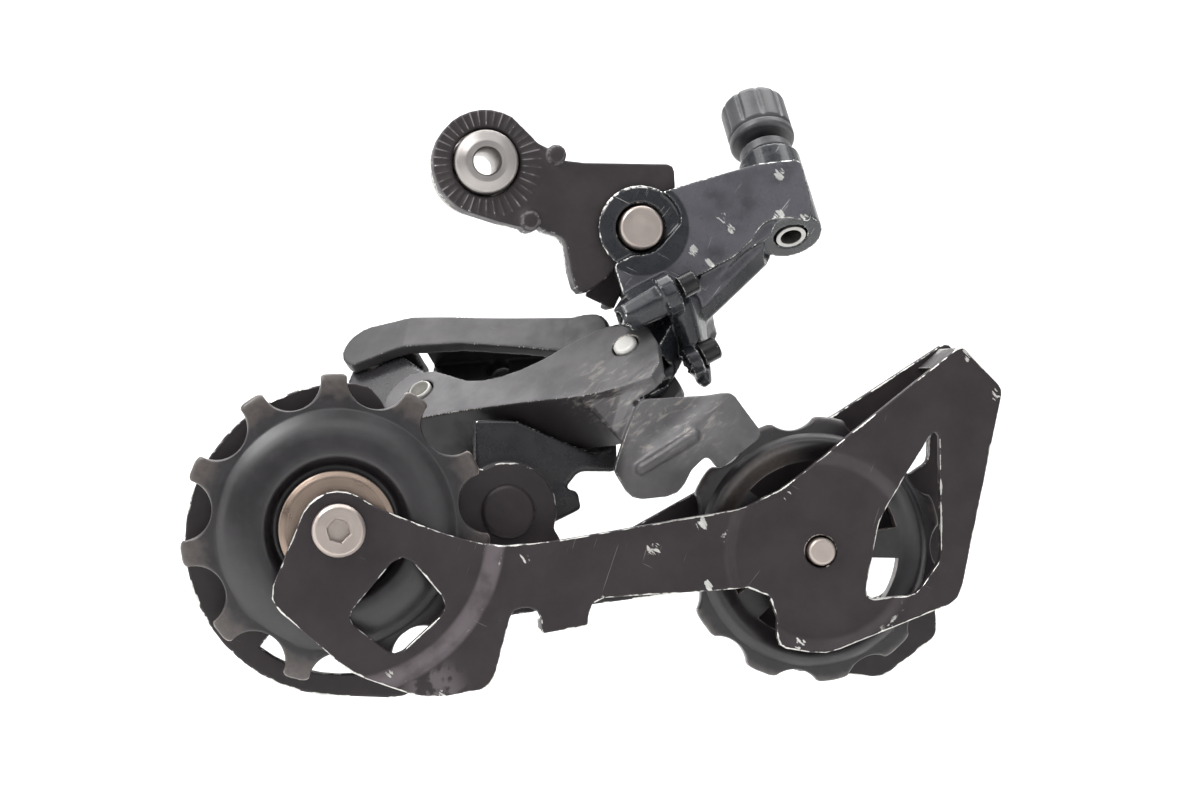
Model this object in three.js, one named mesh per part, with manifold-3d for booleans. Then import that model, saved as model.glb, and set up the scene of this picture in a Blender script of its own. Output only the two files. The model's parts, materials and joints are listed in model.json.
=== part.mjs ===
// Rear bicycle derailleur, short cage, 11-tooth pulleys, resting with no chain and the cable slack.
//
// Millimetres. +X points to the rear of the bicycle, +Y outboard (away from the wheel), +Z up.
// The origin is the axis of the hanger bolt, on the face of the hanger link that meets the hanger.
//
// The four-bar linkage stands on slanted pins. Its own frame ("link frame") has its origin at the
// wheel-side pin of the upper knuckle, x along the links, y inboard and down, z along the pins.

import * as THREE from "three";
import { mergeVertices } from "three/addons/utils/BufferGeometryUtils.js";
import { ConvexGeometry } from "three/addons/geometries/ConvexGeometry.js";
import Module from "manifold-3d";

const wasm = await Module();
wasm.setup();

// ---------------------------------------------------------------- driving dimensions

const GAP = 0.3;

const BOLT_RADIUS = 5;
const LINK_THICKNESS = 6;
const B_AXLE = { x: 24.2, z: -10 };
const B_AXLE_RADIUS = 3.45;

const CHAIN_PITCH = 12.7;
const ROLLER_RADIUS = 3.9;
const SEAT_RADIUS = 4.6;
const TEETH = 11;
const PITCH_RADIUS = CHAIN_PITCH / (2 * Math.sin(Math.PI / TEETH));
const TOOTH_HALF_WIDTH = 1.15;
const GUIDE = { x: -23.6, z: -56.1 };
const TENSION = { x: 49.4, z: -59.9 };
const P_AXLE = { x: 2.8, z: -54 };
const P_AXLE_RADIUS = 3.2;

const PULLEY_Y = -10;
const INNER_PLATE_Y = -16.5;
const OUTER_PLATE_Y = -5.5;
const PLATE = 1.5;
const DISH_DEPTH = 0.9;

const PIN_RADIUS = 1.9;
const LINK_LENGTH = 35.5;
const LINK_ORIGIN = new THREE.Vector3(20.7, -7, -28.5);
const PIN_ELEVATION = THREE.MathUtils.degToRad(43);
const PIN_HEADING = THREE.MathUtils.degToRad(49);
const PIN_AXIS = new THREE.Vector3(
  -Math.cos(PIN_ELEVATION) * Math.cos(PIN_HEADING),
  -Math.cos(PIN_ELEVATION) * Math.sin(PIN_HEADING),
  Math.sin(PIN_ELEVATION),
);
const LINK_HEADING = new THREE.Vector3(-0.846, 0.497, -0.193);
const LINK_Y = new THREE.Vector3().crossVectors(PIN_AXIS, LINK_HEADING).normalize();
const LINK_X = new THREE.Vector3().crossVectors(LINK_Y, PIN_AXIS);
const LINK_FRAME = new THREE.Matrix4().makeBasis(LINK_X, LINK_Y, PIN_AXIS).setPosition(LINK_ORIGIN);

// Pin centres in the link frame: wheel-side ("inner") and far-side ("outer") pins of each knuckle.
const INNER_B = { x: 0, y: 0 };
const INNER_P = { x: LINK_LENGTH, y: 0 };
const OUTER_B = { x: 12.5, y: -13 };
const OUTER_P = { x: 12.5 + LINK_LENGTH, y: -13 };
const LINK_DEPTH = 11.5;
const FLANGE = 2;
const OUTER_DROP = 7;
const OUTER_PIN_TOP = { upper: -OUTER_DROP - 1.1, lower: -1.1 };

const SCREW_DIRECTION = new THREE.Vector3(0.89, 0, 0.456).normalize();
const LIMIT_HEADS = [new THREE.Vector3(30.6, -8.4, -19.2), new THREE.Vector3(34.5, -5.4, -29.4)];
const ADJUSTER_MOUTH = new THREE.Vector3(49.3, 3.4, -10.8);
const ADJUSTER_DIRECTION = new THREE.Vector3(-0.095, 0.59, 0.8).normalize();

// ---------------------------------------------------------------- materials

const paint = (color, roughness, metalness) =>
  new THREE.MeshStandardMaterial({ color, roughness, metalness });

const MATTE_BLACK = paint(0x1b191a, 0.62, 0.2);
const GLOSS_BLACK = paint(0x15171a, 0.28, 0.4);
const SATIN_GREY = paint(0x3b3b3e, 0.5, 0.4);
const STEEL = paint(0xb9b5ae, 0.32, 1);
const NICKEL = paint(0xa8957d, 0.3, 1);
const SPRING_STEEL = paint(0x77777a, 0.4, 1);
const BRONZE = paint(0x9a7443, 0.4, 1);
const RESIN = paint(0x262425, 0.7, 0);
const RUBBER = paint(0x121212, 0.9, 0);

// ---------------------------------------------------------------- outlines

const degrees = THREE.MathUtils.degToRad;

function polar(centre, radius, angle) {
  const turn = degrees(angle);
  const across = centre.x + radius * Math.cos(turn);
  const up = (centre.z ?? centre.y) + radius * Math.sin(turn);
  return new THREE.Vector2(across, up);
}

// Points of an arc round a centre, in degrees, both ends included.
function arc(centre, radius, from, to, steps = 6) {
  return Array.from({ length: steps + 1 }, (_, i) =>
    polar(centre, radius, from + ((to - from) * i) / steps),
  );
}

// A smooth stretch through hand-picked points.
function smooth(points, steps = 2) {
  const curve = new THREE.SplineCurve(points.map(([x, y]) => new THREE.Vector2(x, y)));
  return curve.getPoints(steps * (points.length - 1));
}

function fillet(before, corner, after, radius, steps = 2) {
  const toBefore = before.clone().sub(corner).normalize();
  const toAfter = after.clone().sub(corner).normalize();
  const half = Math.acos(THREE.MathUtils.clamp(toBefore.dot(toAfter), -1, 1)) / 2;
  const reach = radius / Math.tan(half);
  const bisector = toBefore.clone().add(toAfter).normalize();
  const middle = corner.clone().addScaledVector(bisector, radius / Math.sin(half));
  const start = corner.clone().addScaledVector(toBefore, reach).sub(middle).angle();
  const end = corner.clone().addScaledVector(toAfter, reach).sub(middle).angle();
  const sweep = THREE.MathUtils.euclideanModulo(end - start + Math.PI, 2 * Math.PI) - Math.PI;
  return Array.from({ length: steps + 1 }, (_, i) => {
    const turn = start + (sweep * i) / steps;
    return new THREE.Vector2(Math.cos(turn), Math.sin(turn)).multiplyScalar(radius).add(middle);
  });
}

// A closed outline from corners [x, y] or [x, y, fillet radius] and ready-made stretches of points.
function outline(...items) {
  const isStretch = (item) => item[0] instanceof THREE.Vector2;
  const first = (item) => (isStretch(item) ? item[0] : new THREE.Vector2(item[0], item[1]));
  const last = (item) => (isStretch(item) ? item.at(-1) : first(item));
  return items.flatMap((item, i) => {
    if (isStretch(item)) return item;
    const corner = first(item);
    if (!item[2]) return [corner];
    const before = last(items.at(i - 1));
    const after = first(items[(i + 1) % items.length]);
    return fillet(before, corner, after, item[2]);
  });
}

// ---------------------------------------------------------------- solids

function solid(geometry) {
  const bare = geometry.clone();
  bare.deleteAttribute("normal");
  bare.deleteAttribute("uv");
  const merged = mergeVertices(bare, 1e-4);
  return new wasm.Manifold(
    new wasm.Mesh({
      numProp: 3,
      vertProperties: new Float32Array(merged.attributes.position.array),
      triVerts: new Uint32Array(merged.index.array),
    }),
  );
}

// Boolean cuts leave slivers along their seams: edges shorter than 0.02 mm are merged away.
function geometryOf(body) {
  const mesh = body.asOriginal().simplify(0.02).getMesh();
  const geometry = new THREE.BufferGeometry();
  geometry.setAttribute("position", new THREE.BufferAttribute(mesh.vertProperties, 3));
  geometry.setIndex(new THREE.BufferAttribute(mesh.triVerts, 1));
  geometry.computeVertexNormals();
  return geometry;
}

const join = (...pieces) => geometryOf(pieces.map(solid).reduce((a, b) => a.add(b)));
const cut = (base, ...tools) =>
  geometryOf(tools.map(solid).reduce((left, tool) => left.subtract(tool), solid(base)));
const common = (a, b) => geometryOf(solid(a).intersect(solid(b)));

// A plate whose outline lies in X and Z, from y0 to y1.
function slab(points, y0, y1, holes = []) {
  const shape = new THREE.Shape(points);
  shape.holes = holes.map((hole) => new THREE.Path(hole));
  const extruded = new THREE.ExtrudeGeometry(shape, { depth: y1 - y0, bevelEnabled: false });
  return extruded.rotateX(Math.PI / 2).translate(0, y1, 0);
}

// A plate in the link frame's x and y, from z0 to z1, given in world coordinates.
function slantedSlab(points, z0, z1) {
  const extruded = new THREE.ExtrudeGeometry(new THREE.Shape(points), {
    depth: z1 - z0,
    bevelEnabled: false,
  });
  return extruded.translate(0, 0, z0).applyMatrix4(LINK_FRAME);
}

// A wedge in the link frame: an outline in x and z, from y0 to y1, given in world coordinates.
function slantedWedge(points, y0, y1) {
  return slab(points, y0, y1).applyMatrix4(LINK_FRAME);
}

// A turned piece about +Y through a centre; the profile is [radius, y] and closes on itself.
function turned(profile, centre = { x: 0, z: 0 }, segments = 24) {
  const closed = [...profile, profile[0]].map(([radius, y]) => new THREE.Vector2(radius, y));
  return new THREE.LatheGeometry(closed, segments).translate(centre.x, 0, centre.z);
}

const ring = (inner, outer, y0, y1, centre, segments) =>
  turned([[inner, y0], [outer, y0], [outer, y1], [inner, y1]], centre, segments);

// A solid turned piece: its profile starts and ends on the axis.
function turnedSolid(profile, centre = { x: 0, z: 0 }, segments = 20) {
  const points = profile.map(([radius, y]) => new THREE.Vector2(radius, y));
  return new THREE.LatheGeometry(points, segments).translate(centre.x, 0, centre.z);
}

const rod = (radius, y0, y1, centre, segments) =>
  turnedSolid([[0, y0], [radius, y0], [radius, y1], [0, y1]], centre, segments);

// Carries a piece drawn about +Y from the origin to start at a point and run in a direction.
function aim(geometry, start, direction) {
  const turn = new THREE.Quaternion().setFromUnitVectors(new THREE.Vector3(0, 1, 0), direction);
  return geometry.applyQuaternion(turn).translate(start.x, start.y, start.z);
}

function hexPrism(acrossFlats, y0, y1, centre) {
  return rod(acrossFlats / Math.sqrt(3), y0, y1, centre, 6);
}

// A closed coil about +Y: turns of round wire, drawn as a swept six-sided section.
function coil(radius, wire, y0, y1, turns, centre = { x: 0, z: 0 }) {
  const steps = Math.round(turns * 12);
  const points = Array.from({ length: steps + 1 }, (_, i) => {
    const flat = polar(centre, radius, (360 * turns * i) / steps);
    return new THREE.Vector3(flat.x, y0 + ((y1 - y0) * i) / steps, flat.y);
  });
  const section = new THREE.Shape(arc({ x: 0, y: 0 }, wire / 2, 0, 300, 5));
  return new THREE.ExtrudeGeometry(section, {
    steps,
    bevelEnabled: false,
    extrudePath: new THREE.CatmullRomCurve3(points),
  });
}

const discPoints = (centre, radius, z, count = 8) =>
  arc(centre, radius, 0, 360 - 360 / count, count - 1).map(({ x, y }) => new THREE.Vector3(x, y, z));
const rimPoints = (centre, radius, y) =>
  arc(centre, radius, 0, 315, 7).map((point) => new THREE.Vector3(point.x, y, point.y));
const inLinkFrame = (points) => points.map((point) => point.clone().applyMatrix4(LINK_FRAME));

function ballPoints(centre, radius) {
  const ball = mergeVertices(new THREE.DodecahedronGeometry(radius).deleteAttribute("normal"));
  const { array } = ball.translate(centre.x, centre.y, centre.z).attributes.position;
  return Array.from({ length: array.length / 3 }, (_, i) =>
    new THREE.Vector3().fromArray(array, i * 3),
  );
}

const hull = (points) => new ConvexGeometry(points);

// The outline of a plate that wraps one or more discs: the convex hull of their rims.
function wrapOutline(discs, count = 16) {
  const rims = discs.flatMap(({ x, y, radius }) => arc({ x, y }, radius, 0, 360, count));
  const start = rims.reduce((a, b) => (b.x < a.x ? b : a));
  const wrapped = [start];
  for (;;) {
    const from = wrapped.at(-1);
    const next = rims.reduce((best, point) => {
      if (point.distanceTo(from) < 1e-6) return best;
      if (!best) return point;
      const side = best.clone().sub(from).cross(point.clone().sub(from));
      return side < 0 ? point : best;
    }, null);
    if (next.distanceTo(start) < 1e-6 || wrapped.length > rims.length) return wrapped;
    wrapped.push(next);
  }
}

// ---------------------------------------------------------------- hanger link and its bolt

function hangerLink() {
  const end = { x: 0, z: 0 };
  const upperBump = { x: 11, z: 1.3 };
  const lowerBump = { x: 6.9, z: -9 };
  const plate = slab(
    outline(
      arc(end, 8.2, 60, 250, 16),
      [1.7, -9.1, 4],
      arc(lowerBump, 1.7, 215, 330, 4),
      [9.2, -10.5, 0.8],
      [12.4, -11.5, 2],
      [13.4, -17, 4],
      [14.7, -21, 1.3],
      [18.4, -18.4, 0.8],
      arc(B_AXLE, 6.9, 240, 350, 5),
      [29.9, -4, 0.8],
      [29.7, 0.15, 1.2],
      [15.6, 0.15, 2],
      arc(upperBump, 1.65, 330, 500, 5),
      [8.2, 3.1, 1.5],
    ),
    0,
    LINK_THICKNESS,
  );
  const bumps = [upperBump, lowerBump].map((bump) => rod(1.45, -0.6, 1, bump, 10));
  return cut(
    join(plate, ...bumps),
    rod(BOLT_RADIUS + GAP, -1, 7, end, 28),
    rod(6.6, 3.4, 7, end, 24),
    rod(B_AXLE_RADIUS + GAP, -3, 7, B_AXLE, 24),
  );
}

const BOLT_HEAD_Y = 12;

function hangerBolt() {
  const body = turnedSolid([
    [0, -1.9], [3.5, -1.9], [4.7, -1.45], [BOLT_RADIUS, -1.1], [BOLT_RADIUS, BOLT_HEAD_Y],
    [7.4, BOLT_HEAD_Y], [7.4, 14.6], [6.8, 15.4], [0, 15.4],
  ], undefined, 28);
  return cut(body, hexPrism(4, -3, 3), rod(3.1, 2.8, 12, undefined, 24), hexPrism(5.8, 11.5, 17));
}

function stopPlate() {
  const tab = { x: 19.6, z: -20 };
  const away = new THREE.Vector2(tab.x - B_AXLE.x, tab.z - B_AXLE.z).normalize();
  const across = new THREE.Vector2(-away.y, away.x);
  const corner = (along, side) => [
    B_AXLE.x + away.x * along + across.x * side,
    B_AXLE.z + away.y * along + across.y * side,
  ];
  const arm = outline(corner(0, -2.6), corner(12.6, -2.6), corner(12.6, 2.4), corner(0, 2.6));
  const lip = outline(corner(10, 1.2), corner(12.6, 1.2), corner(12.6, 2.4), corner(10, 2.4));
  const washer = rod(7.4, LINK_THICKNESS + GAP, 7.5, B_AXLE, 24);
  return cut(
    join(washer, slab(arm, LINK_THICKNESS + GAP, 7.5), slab(lip, LINK_THICKNESS + GAP, 14)),
    rod(B_AXLE_RADIUS + GAP, 5, 9, B_AXLE, 20),
  );
}

function pivotAxle() {
  const body = turnedSolid([
    [0, -2.3], [B_AXLE_RADIUS - 0.35, -2.3], [B_AXLE_RADIUS, -1.95], [B_AXLE_RADIUS, 21],
    [5.4, 21], [5.4, 23], [4.9, 23.6], [0, 23.6],
  ], B_AXLE, 24);
  return cut(body, hexPrism(5, 21.2, 25, B_AXLE));
}

// ---------------------------------------------------------------- upper (bracket) knuckle

const FACE_Y = -2;
const HOUSING = { from: 9, to: 19.6, radius: 9.4 };
const ARM_ROOT = new THREE.Vector3(43.6, 5, -11.6);
const ELBOW = new THREE.Vector3(32.6, 2.6, -22.4);
const BLOCK_RADIUS = 3.1;

const alongAdjuster = (distance) =>
  ADJUSTER_MOUTH.clone().addScaledVector(ADJUSTER_DIRECTION, distance);
const alongScrew = (head, distance) => head.clone().addScaledVector(SCREW_DIRECTION, distance);

// The raised face steps down to a thin eye round the axle's end.
function frontFace() {
  return slab(
    outline(
      [20.2, -15.6],
      [22.6, -14.4, 1],
      arc(B_AXLE, 4.2, 278, 318, 3),
      [30.3, -9.4, 0.8],
      arc(B_AXLE, 6.5, 18, 60, 4),
      [33.4, -2.5, 4],
      [43, 0.3, 8],
      [49.6, 1.1, 1.2],
      [51.4, -5.5, 2],
      [51.2, -8.9, 0.6],
      smooth([[49.2, -8.4], [45.9, -8.3], [43.4, -9.4], [41.8, -11.8]]),
      [38.8, -14.5, 2],
      [32.5, -17.8, 4],
      [28, -20.5, 2],
      [21.4, -20.9, 0.8],
      [19.9, -16.2, 0.6],
    ),
    FACE_Y,
    -0.35,
  );
}

const axleEye = () => ring(B_AXLE_RADIUS + 0.45, 6.7, FACE_Y + 0.9, -0.35, B_AXLE, 28);

function upperArm() {
  return slab(
    outline(
      [30.5, -3.4],
      [43, 0.2, 8],
      [49.4, 0.9, 1.5],
      [50.8, -5.5, 2],
      [47.4, -9.8, 3],
      [41, -13.5, 3],
      [35, -19],
      [29, -17.5],
    ),
    FACE_Y + 1.6,
    13,
  );
}

function limitScrewBosses() {
  const [high, low] = LIMIT_HEADS;
  const boss = (head, from, to, radius) =>
    aim(rod(radius, 0, to - from, undefined, 12), alongScrew(head, from), SCREW_DIRECTION);
  const highBlock = hull([
    ...ballPoints(alongScrew(high, -10.6), 2.7),
    ...ballPoints(alongScrew(high, -5), BLOCK_RADIUS),
    ...ballPoints(new THREE.Vector3(27.6, -3.4, -19.6), 2.6),
    ...ballPoints(new THREE.Vector3(22.6, -3.2, -21.4), 1.8),
  ]);
  const face = boss(high, -5, -2.6, BLOCK_RADIUS + 0.3);
  const wall = hull([
    ...ballPoints(new THREE.Vector3(29.8, -5.2, -22.2), 2.2),
    ...ballPoints(new THREE.Vector3(31.6, -4.6, -28.4), 1.7),
    ...ballPoints(new THREE.Vector3(33.6, -4.4, -33.8), 1.3),
    ...ballPoints(ELBOW, 2.6),
  ]);
  const lowBoss = hull([
    ...ballPoints(alongScrew(low, -3.4), 2.2),
    ...ballPoints(new THREE.Vector3(32, -3.4, -28.4), 1.8),
  ]);
  return [highBlock, face, wall, lowBoss, boss(low, -4.2, -2.2, 2.5)];
}

// Lugs that sit between the flanges of the two links, one for each pin.
const INNER_LUG = { top: -2.4, bottom: -9.1 };
const OUTER_LUG = { top: -9.3, bottom: -13.6 };

function upperLugs() {
  const shoulder = { x: -4.5, y: -13.5, radius: 4.2 };
  const inner = wrapOutline([{ ...INNER_B, radius: 4.1 }, shoulder]);
  const outer = wrapOutline([{ ...OUTER_B, radius: 3.3 }, shoulder]);
  const root = hull([
    ...ballPoints(ELBOW, 3.8),
    ...inLinkFrame(discPoints(shoulder, 4, INNER_LUG.top)),
    ...inLinkFrame(discPoints(shoulder, 4, OUTER_LUG.bottom)),
  ]);
  return [
    slantedSlab(inner, INNER_LUG.bottom, INNER_LUG.top),
    slantedSlab(outer, OUTER_LUG.bottom, OUTER_LUG.top),
    root,
  ];
}

function pinHole(centre, radius, z0 = -20, z1 = 4) {
  const axis = new THREE.Vector3(0, 0, 1);
  const start = new THREE.Vector3(centre.x, centre.y, z0);
  return aim(rod(radius, 0, z1 - z0, undefined, 14), start, axis).applyMatrix4(LINK_FRAME);
}

const SPRING_SLOT = { top: -4.1, bottom: -7.5, radius: 3.7 };
const B_SCREW_START = new THREE.Vector3(31.2, 11.6, -25);
const B_SCREW_DIRECTION = new THREE.Vector3(-0.908, 0, 0.418).normalize();
const B_SCREW_LENGTH = 9.6;

function upperKnuckle() {
  const boss = aim(rod(5.15, 0, 15.6, undefined, 24), ADJUSTER_MOUTH, ADJUSTER_DIRECTION);
  const arm = hull([...ballPoints(ARM_ROOT, 4.6), ...ballPoints(ELBOW, 3.9)]);
  const housing = rod(HOUSING.radius, HOUSING.from, HOUSING.to, B_AXLE, 26);
  const bridge = hull([
    new THREE.Vector3(30.2, HOUSING.from + 0.2, -5),
    new THREE.Vector3(30, HOUSING.to - 1, -3.5),
    new THREE.Vector3(31, HOUSING.from + 0.2, -18),
    new THREE.Vector3(29, HOUSING.to - 1, -17),
    new THREE.Vector3(45, 8, -1),
    new THREE.Vector3(45, 12.5, -1),
    new THREE.Vector3(43, 8, -12),
    new THREE.Vector3(42, 12.5, -11),
  ]);
  const lowWeb = hull([
    ...ballPoints(ELBOW, 3.6),
    new THREE.Vector3(21, HOUSING.from + 0.2, -18),
    new THREE.Vector3(33, HOUSING.from + 0.2, -14),
    new THREE.Vector3(23, 16, -18.4),
    new THREE.Vector3(31, 16, -15.5),
    ...ballPoints(B_SCREW_START.clone().addScaledVector(B_SCREW_DIRECTION, 3.6), 3),
  ]);
  const solidBody = join(
    frontFace(),
    axleEye(),
    upperArm(),
    boss,
    arm,
    housing,
    bridge,
    lowWeb,
    ...limitScrewBosses(),
    ...upperLugs(),
  );
  const lipRoom = slab(
    outline(arc(B_AXLE, 13.6, 205, 258), arc(B_AXLE, 9.7, 258, 205)),
    HOUSING.from - 1,
    14.6,
  );
  const screwHoles = LIMIT_HEADS.map((head) =>
    aim(
      turnedSolid([[0, -17], [1.5, -17], [1.5, -1.9], [2.4, -1.9], [2.4, 3], [0, 3]], undefined, 12),
      head,
      SCREW_DIRECTION,
    ),
  );
  return cut(
    solidBody,
    rod(12.2, -0.45, HOUSING.from, B_AXLE, 28),
    lipRoom,
    aim(rod(5.2, -14, 0, undefined, 24), ADJUSTER_MOUTH, ADJUSTER_DIRECTION),
    rod(B_AXLE_RADIUS + 1.6, 6, 21, B_AXLE, 20),
    rod(7.9, 11, 21, B_AXLE, 24),
    aim(rod(2.75, -1, 17, undefined, 16), ADJUSTER_MOUTH, ADJUSTER_DIRECTION),
    ...screwHoles,
    aim(
      turnedSolid([[0, -8], [2.8, -8], [2.8, GAP], [1.8, GAP], [1.8, 14], [0, 14]], undefined, 12),
      B_SCREW_START,
      B_SCREW_DIRECTION,
    ),
    pinHole(INNER_B, PIN_RADIUS + GAP),
    pinHole(OUTER_B, PIN_RADIUS + GAP),
    pinHole(INNER_B, SPRING_SLOT.radius + 0.9, SPRING_SLOT.bottom, SPRING_SLOT.top),
    pinHole(OUTER_B, 5.6, -9.25, 2),
  );
}

function upperKnuckleFittings() {
  const capHex = hexPrism(5, 18, 24, B_AXLE);
  return {
    b_axle_bush: ring(B_AXLE_RADIUS + GAP, B_AXLE_RADIUS + 1.3, HOUSING.from, 10.7, B_AXLE, 20),
    b_spring: coil(6.3, 1.5, 12.1, 17.2, 2.75, B_AXLE),
    b_spring_cover: cut(ring(B_AXLE_RADIUS + GAP, 7.6, 18.5, 20.4, B_AXLE, 24), capHex),
    b_pivot_seal: ring(5.4, 7, 7.8, HOUSING.from - GAP, B_AXLE, 24),
  };
}

const headProfile = (radius, height) => [
  [0, 0], [radius, 0], [radius, height - 0.35], [radius - 0.35, height], [0, height],
];

// A small socket screw pointing along +Y: tip at -length, head above 0.
function socketScrew(shank, length, head, height, socket) {
  const body = turnedSolid([
    [0, -length], [shank - 0.4, -length], [shank, -length + 0.4], [shank, 0],
    ...headProfile(head, height).slice(1),
  ], undefined, 16);
  return cut(body, hexPrism(socket, height * 0.4, height + 1));
}

const limitScrew = (head, length) =>
  aim(socketScrew(1.2, length, 2.05, 2.9, 2), alongScrew(head, -1.6), SCREW_DIRECTION);

const tensionScrew = () =>
  aim(
    socketScrew(1.5, B_SCREW_LENGTH, 2.4, 2.6, 2.5).rotateX(Math.PI),
    B_SCREW_START,
    B_SCREW_DIRECTION,
  );

// ---------------------------------------------------------------- cable adjuster

function adjusterKnob() {
  const sleeve = turned([
    [2.3, 0], [4.9, 0], [5.4, 0.4], [5.4, 1.4], [5, 1.75], [5.4, 2.1], [5.4, 7.9], [4.8, 8.6],
    [2.3, 8.6],
  ], undefined, 30);
  const flutes = Array.from({ length: 10 }, (_, i) => {
    const at = polar({ x: 0, z: 0 }, 5.7, 36 * i);
    return rod(0.6, 2.4, 9, { x: at.x, z: at.y }, 6);
  });
  return aim(cut(sleeve, ...flutes), alongAdjuster(19.6), ADJUSTER_DIRECTION);
}

const adjusterSleeve = () =>
  aim(ring(1.7, 2.45, -0.15, 5.2, undefined, 18), ADJUSTER_MOUTH, ADJUSTER_DIRECTION);

function adjusterFittings() {
  const barrel = turned([
    [1.2, 6], [2.1, 6], [2.1, 15.9], [3.9, 15.9], [4.35, 16.4], [4.35, 17.9], [2, 17.9],
    [2, 27.6], [1.2, 27.6],
  ], undefined, 20);
  return {
    adjuster_barrel: aim(barrel, ADJUSTER_MOUTH, ADJUSTER_DIRECTION),
    adjuster_detent_spring: aim(coil(3.1, 0.7, 18.4, 19.1, 1), ADJUSTER_MOUTH, ADJUSTER_DIRECTION),
  };
}

// ---------------------------------------------------------------- links

const INNER_TOP_EDGE = smooth([
  [38.2, -4.5], [33.5, -3.9], [27, 0.1], [21, 0.8], [14.5, -0.9], [8.2, -4.2], [3.5, -5.4],
]);
const INNER_LOW_EDGE = smooth([
  [-5.2, 8.4], [0, 9.3], [6.2, 9.4], [13.1, 8.4], [20.1, 7.6], [28, 6.8],
]);

function innerLinkOutline() {
  return outline(
    INNER_TOP_EDGE,
    [-2.8, -4.2, 2.5],
    [-5.4, 0.6, 3],
    [-6.3, 5.4, 2],
    INNER_LOW_EDGE,
    arc({ x: 36.2, y: 0.9 }, 5.6, 95, -62, 9),
  );
}

const SKID_Y = { front: -15.2, back: -13.5 };

function skidOutline() {
  return outline(
    [21.4, -36.8, 2],
    [31.9, -36.2, 1.5],
    [35.6, -35.6, 1.6],
    [40.7, -42.2, 1.2],
    [33.8, -47.5, 0.8],
    [32, -45.2, 0.8],
    [29.6, -47.4, 1.5],
    [27.6, -51.3, 3.5],
    [20.4, -52, 2.6],
    [17.6, -47.4, 1.6],
    [19.4, -42, 3],
  );
}

function skidRib() {
  const rib = (x, z) => new THREE.Vector3(x, SKID_Y.front - 0.1, z);
  return hull([
    ...ballPoints(rib(21.6, -47.2), 1.1),
    ...ballPoints(rib(29.4, -42.4), 1.3),
  ]);
}

function innerLink() {
  const block = slantedSlab(innerLinkOutline(), -LINK_DEPTH, 0);
  const pocket = slantedSlab(
    outline(
      [-9, 3], [-1, 7.4, 2], [6.4, 7.9, 4], [20, 6.1, 8], [36.5, 5.1], [50, 5.1], [50, -20], [-9, -20],
    ),
    -LINK_DEPTH + FLANGE,
    -FLANGE,
  );
  const neck = hull([
    ...inLinkFrame([
      ...discPoints({ x: -2.6, y: 5.6 }, 2.6, -0.4, 8),
      ...discPoints({ x: 5.6, y: 7.2 }, 2.2, -0.4, 8),
      ...discPoints({ x: 3, y: 8.4 }, 0.8, -10, 8),
      ...discPoints({ x: -2.4, y: 8.4 }, 0.8, -10, 8),
    ]),
    new THREE.Vector3(20.6, SKID_Y.back, -40.5),
    new THREE.Vector3(32.5, SKID_Y.back, -38.5),
    new THREE.Vector3(33.5, SKID_Y.front + 0.8, -40),
    new THREE.Vector3(20, SKID_Y.front + 0.8, -44.5),
    new THREE.Vector3(28, SKID_Y.front + 0.4, -44),
  ]);
  const skid = slab(skidOutline(), SKID_Y.front, SKID_Y.back);
  const lugCircle = arc(INNER_B, 4.9, 0, 337.5, 15);
  const lugRoom = slantedSlab(lugCircle, INNER_LUG.bottom - GAP, -FLANGE);
  // The low limit screw and its boss pass through here as the linkage folds.
  const screwSweep = outline(arc(INNER_B, 13.2, 98, 218, 12), arc(INNER_B, 6.1, 218, 98, 8));
  const screwRoom = slantedSlab(screwSweep, -13, -FLANGE - GAP);
  const headRoom = slantedSlab(screwSweep, -13, -6);
  return cut(
    join(cut(block, pocket, screwRoom), cut(neck, pocket, lugRoom, screwRoom), skid, skidRib()),
    headRoom,
    pinHole(INNER_B, PIN_RADIUS + GAP),
    pinHole(INNER_P, PIN_RADIUS + GAP),
  );
}

// The outer link's flanges run down along the pins from the lower knuckle to the upper one.
function dropLine(offset, drop) {
  return [[60, offset], [41, offset], [15, offset - drop], [0, offset - drop]];
}

function dropBand(high, low, lowDrop = OUTER_DROP) {
  return outline(...dropLine(high, OUTER_DROP), ...dropLine(low, lowDrop).reverse());
}

function outerLinkOutline() {
  return outline(
    arc({ x: 48, y: -14 }, 4.7, 62, -84, 8),
    [37, -18.8],
    [24, -18.2],
    arc({ x: OUTER_B.x, y: -13.2 }, 4.9, -90, -235, 7),
    [22, -11.2],
    [32, -12.3],
    [42.5, -11.6],
  );
}

// The cable clamp hangs under the outer link's lower flange and points away from it.
const CLAMP_AT = new THREE.Vector3(30, -15, -13.7).applyMatrix4(LINK_FRAME);
const CLAMP_DIRECTION = new THREE.Vector3(0.152, 0, -0.988).transformDirection(LINK_FRAME);
const CLAMP_PLATE_TOP = 1.6;

function outerLink() {
  const block = slantedSlab(outerLinkOutline(), -20, 0.001);
  const shell = common(block, slantedWedge(dropBand(0, -LINK_DEPTH + 2.6), -20, -5));
  const foot = common(block, slantedWedge(dropBand(-5, -12, 4), -20, -5));
  const channel = outline([0, -16.6], [17, -16.6], [40, -17.2], [60, -17.2], [60, -3], [0, -3]);
  const pocket = common(slantedSlab(channel, -20, 1), slantedWedge(dropBand(-2, -10, 4), -20, -2));
  const slot = slantedWedge(outline([41.2, -4], [43.2, -4], [43.2, -13], [41.2, -13]), -22, -13);
  return cut(
    join(shell, foot),
    pocket,
    slot,
    pinHole(OUTER_B, PIN_RADIUS + GAP, -20, OUTER_PIN_TOP.upper + GAP),
    pinHole(OUTER_P, PIN_RADIUS + GAP, -20, OUTER_PIN_TOP.lower + GAP),
    aim(rod(1.9, -4, 8, undefined, 16), CLAMP_AT, CLAMP_DIRECTION),
  );
}

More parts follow.
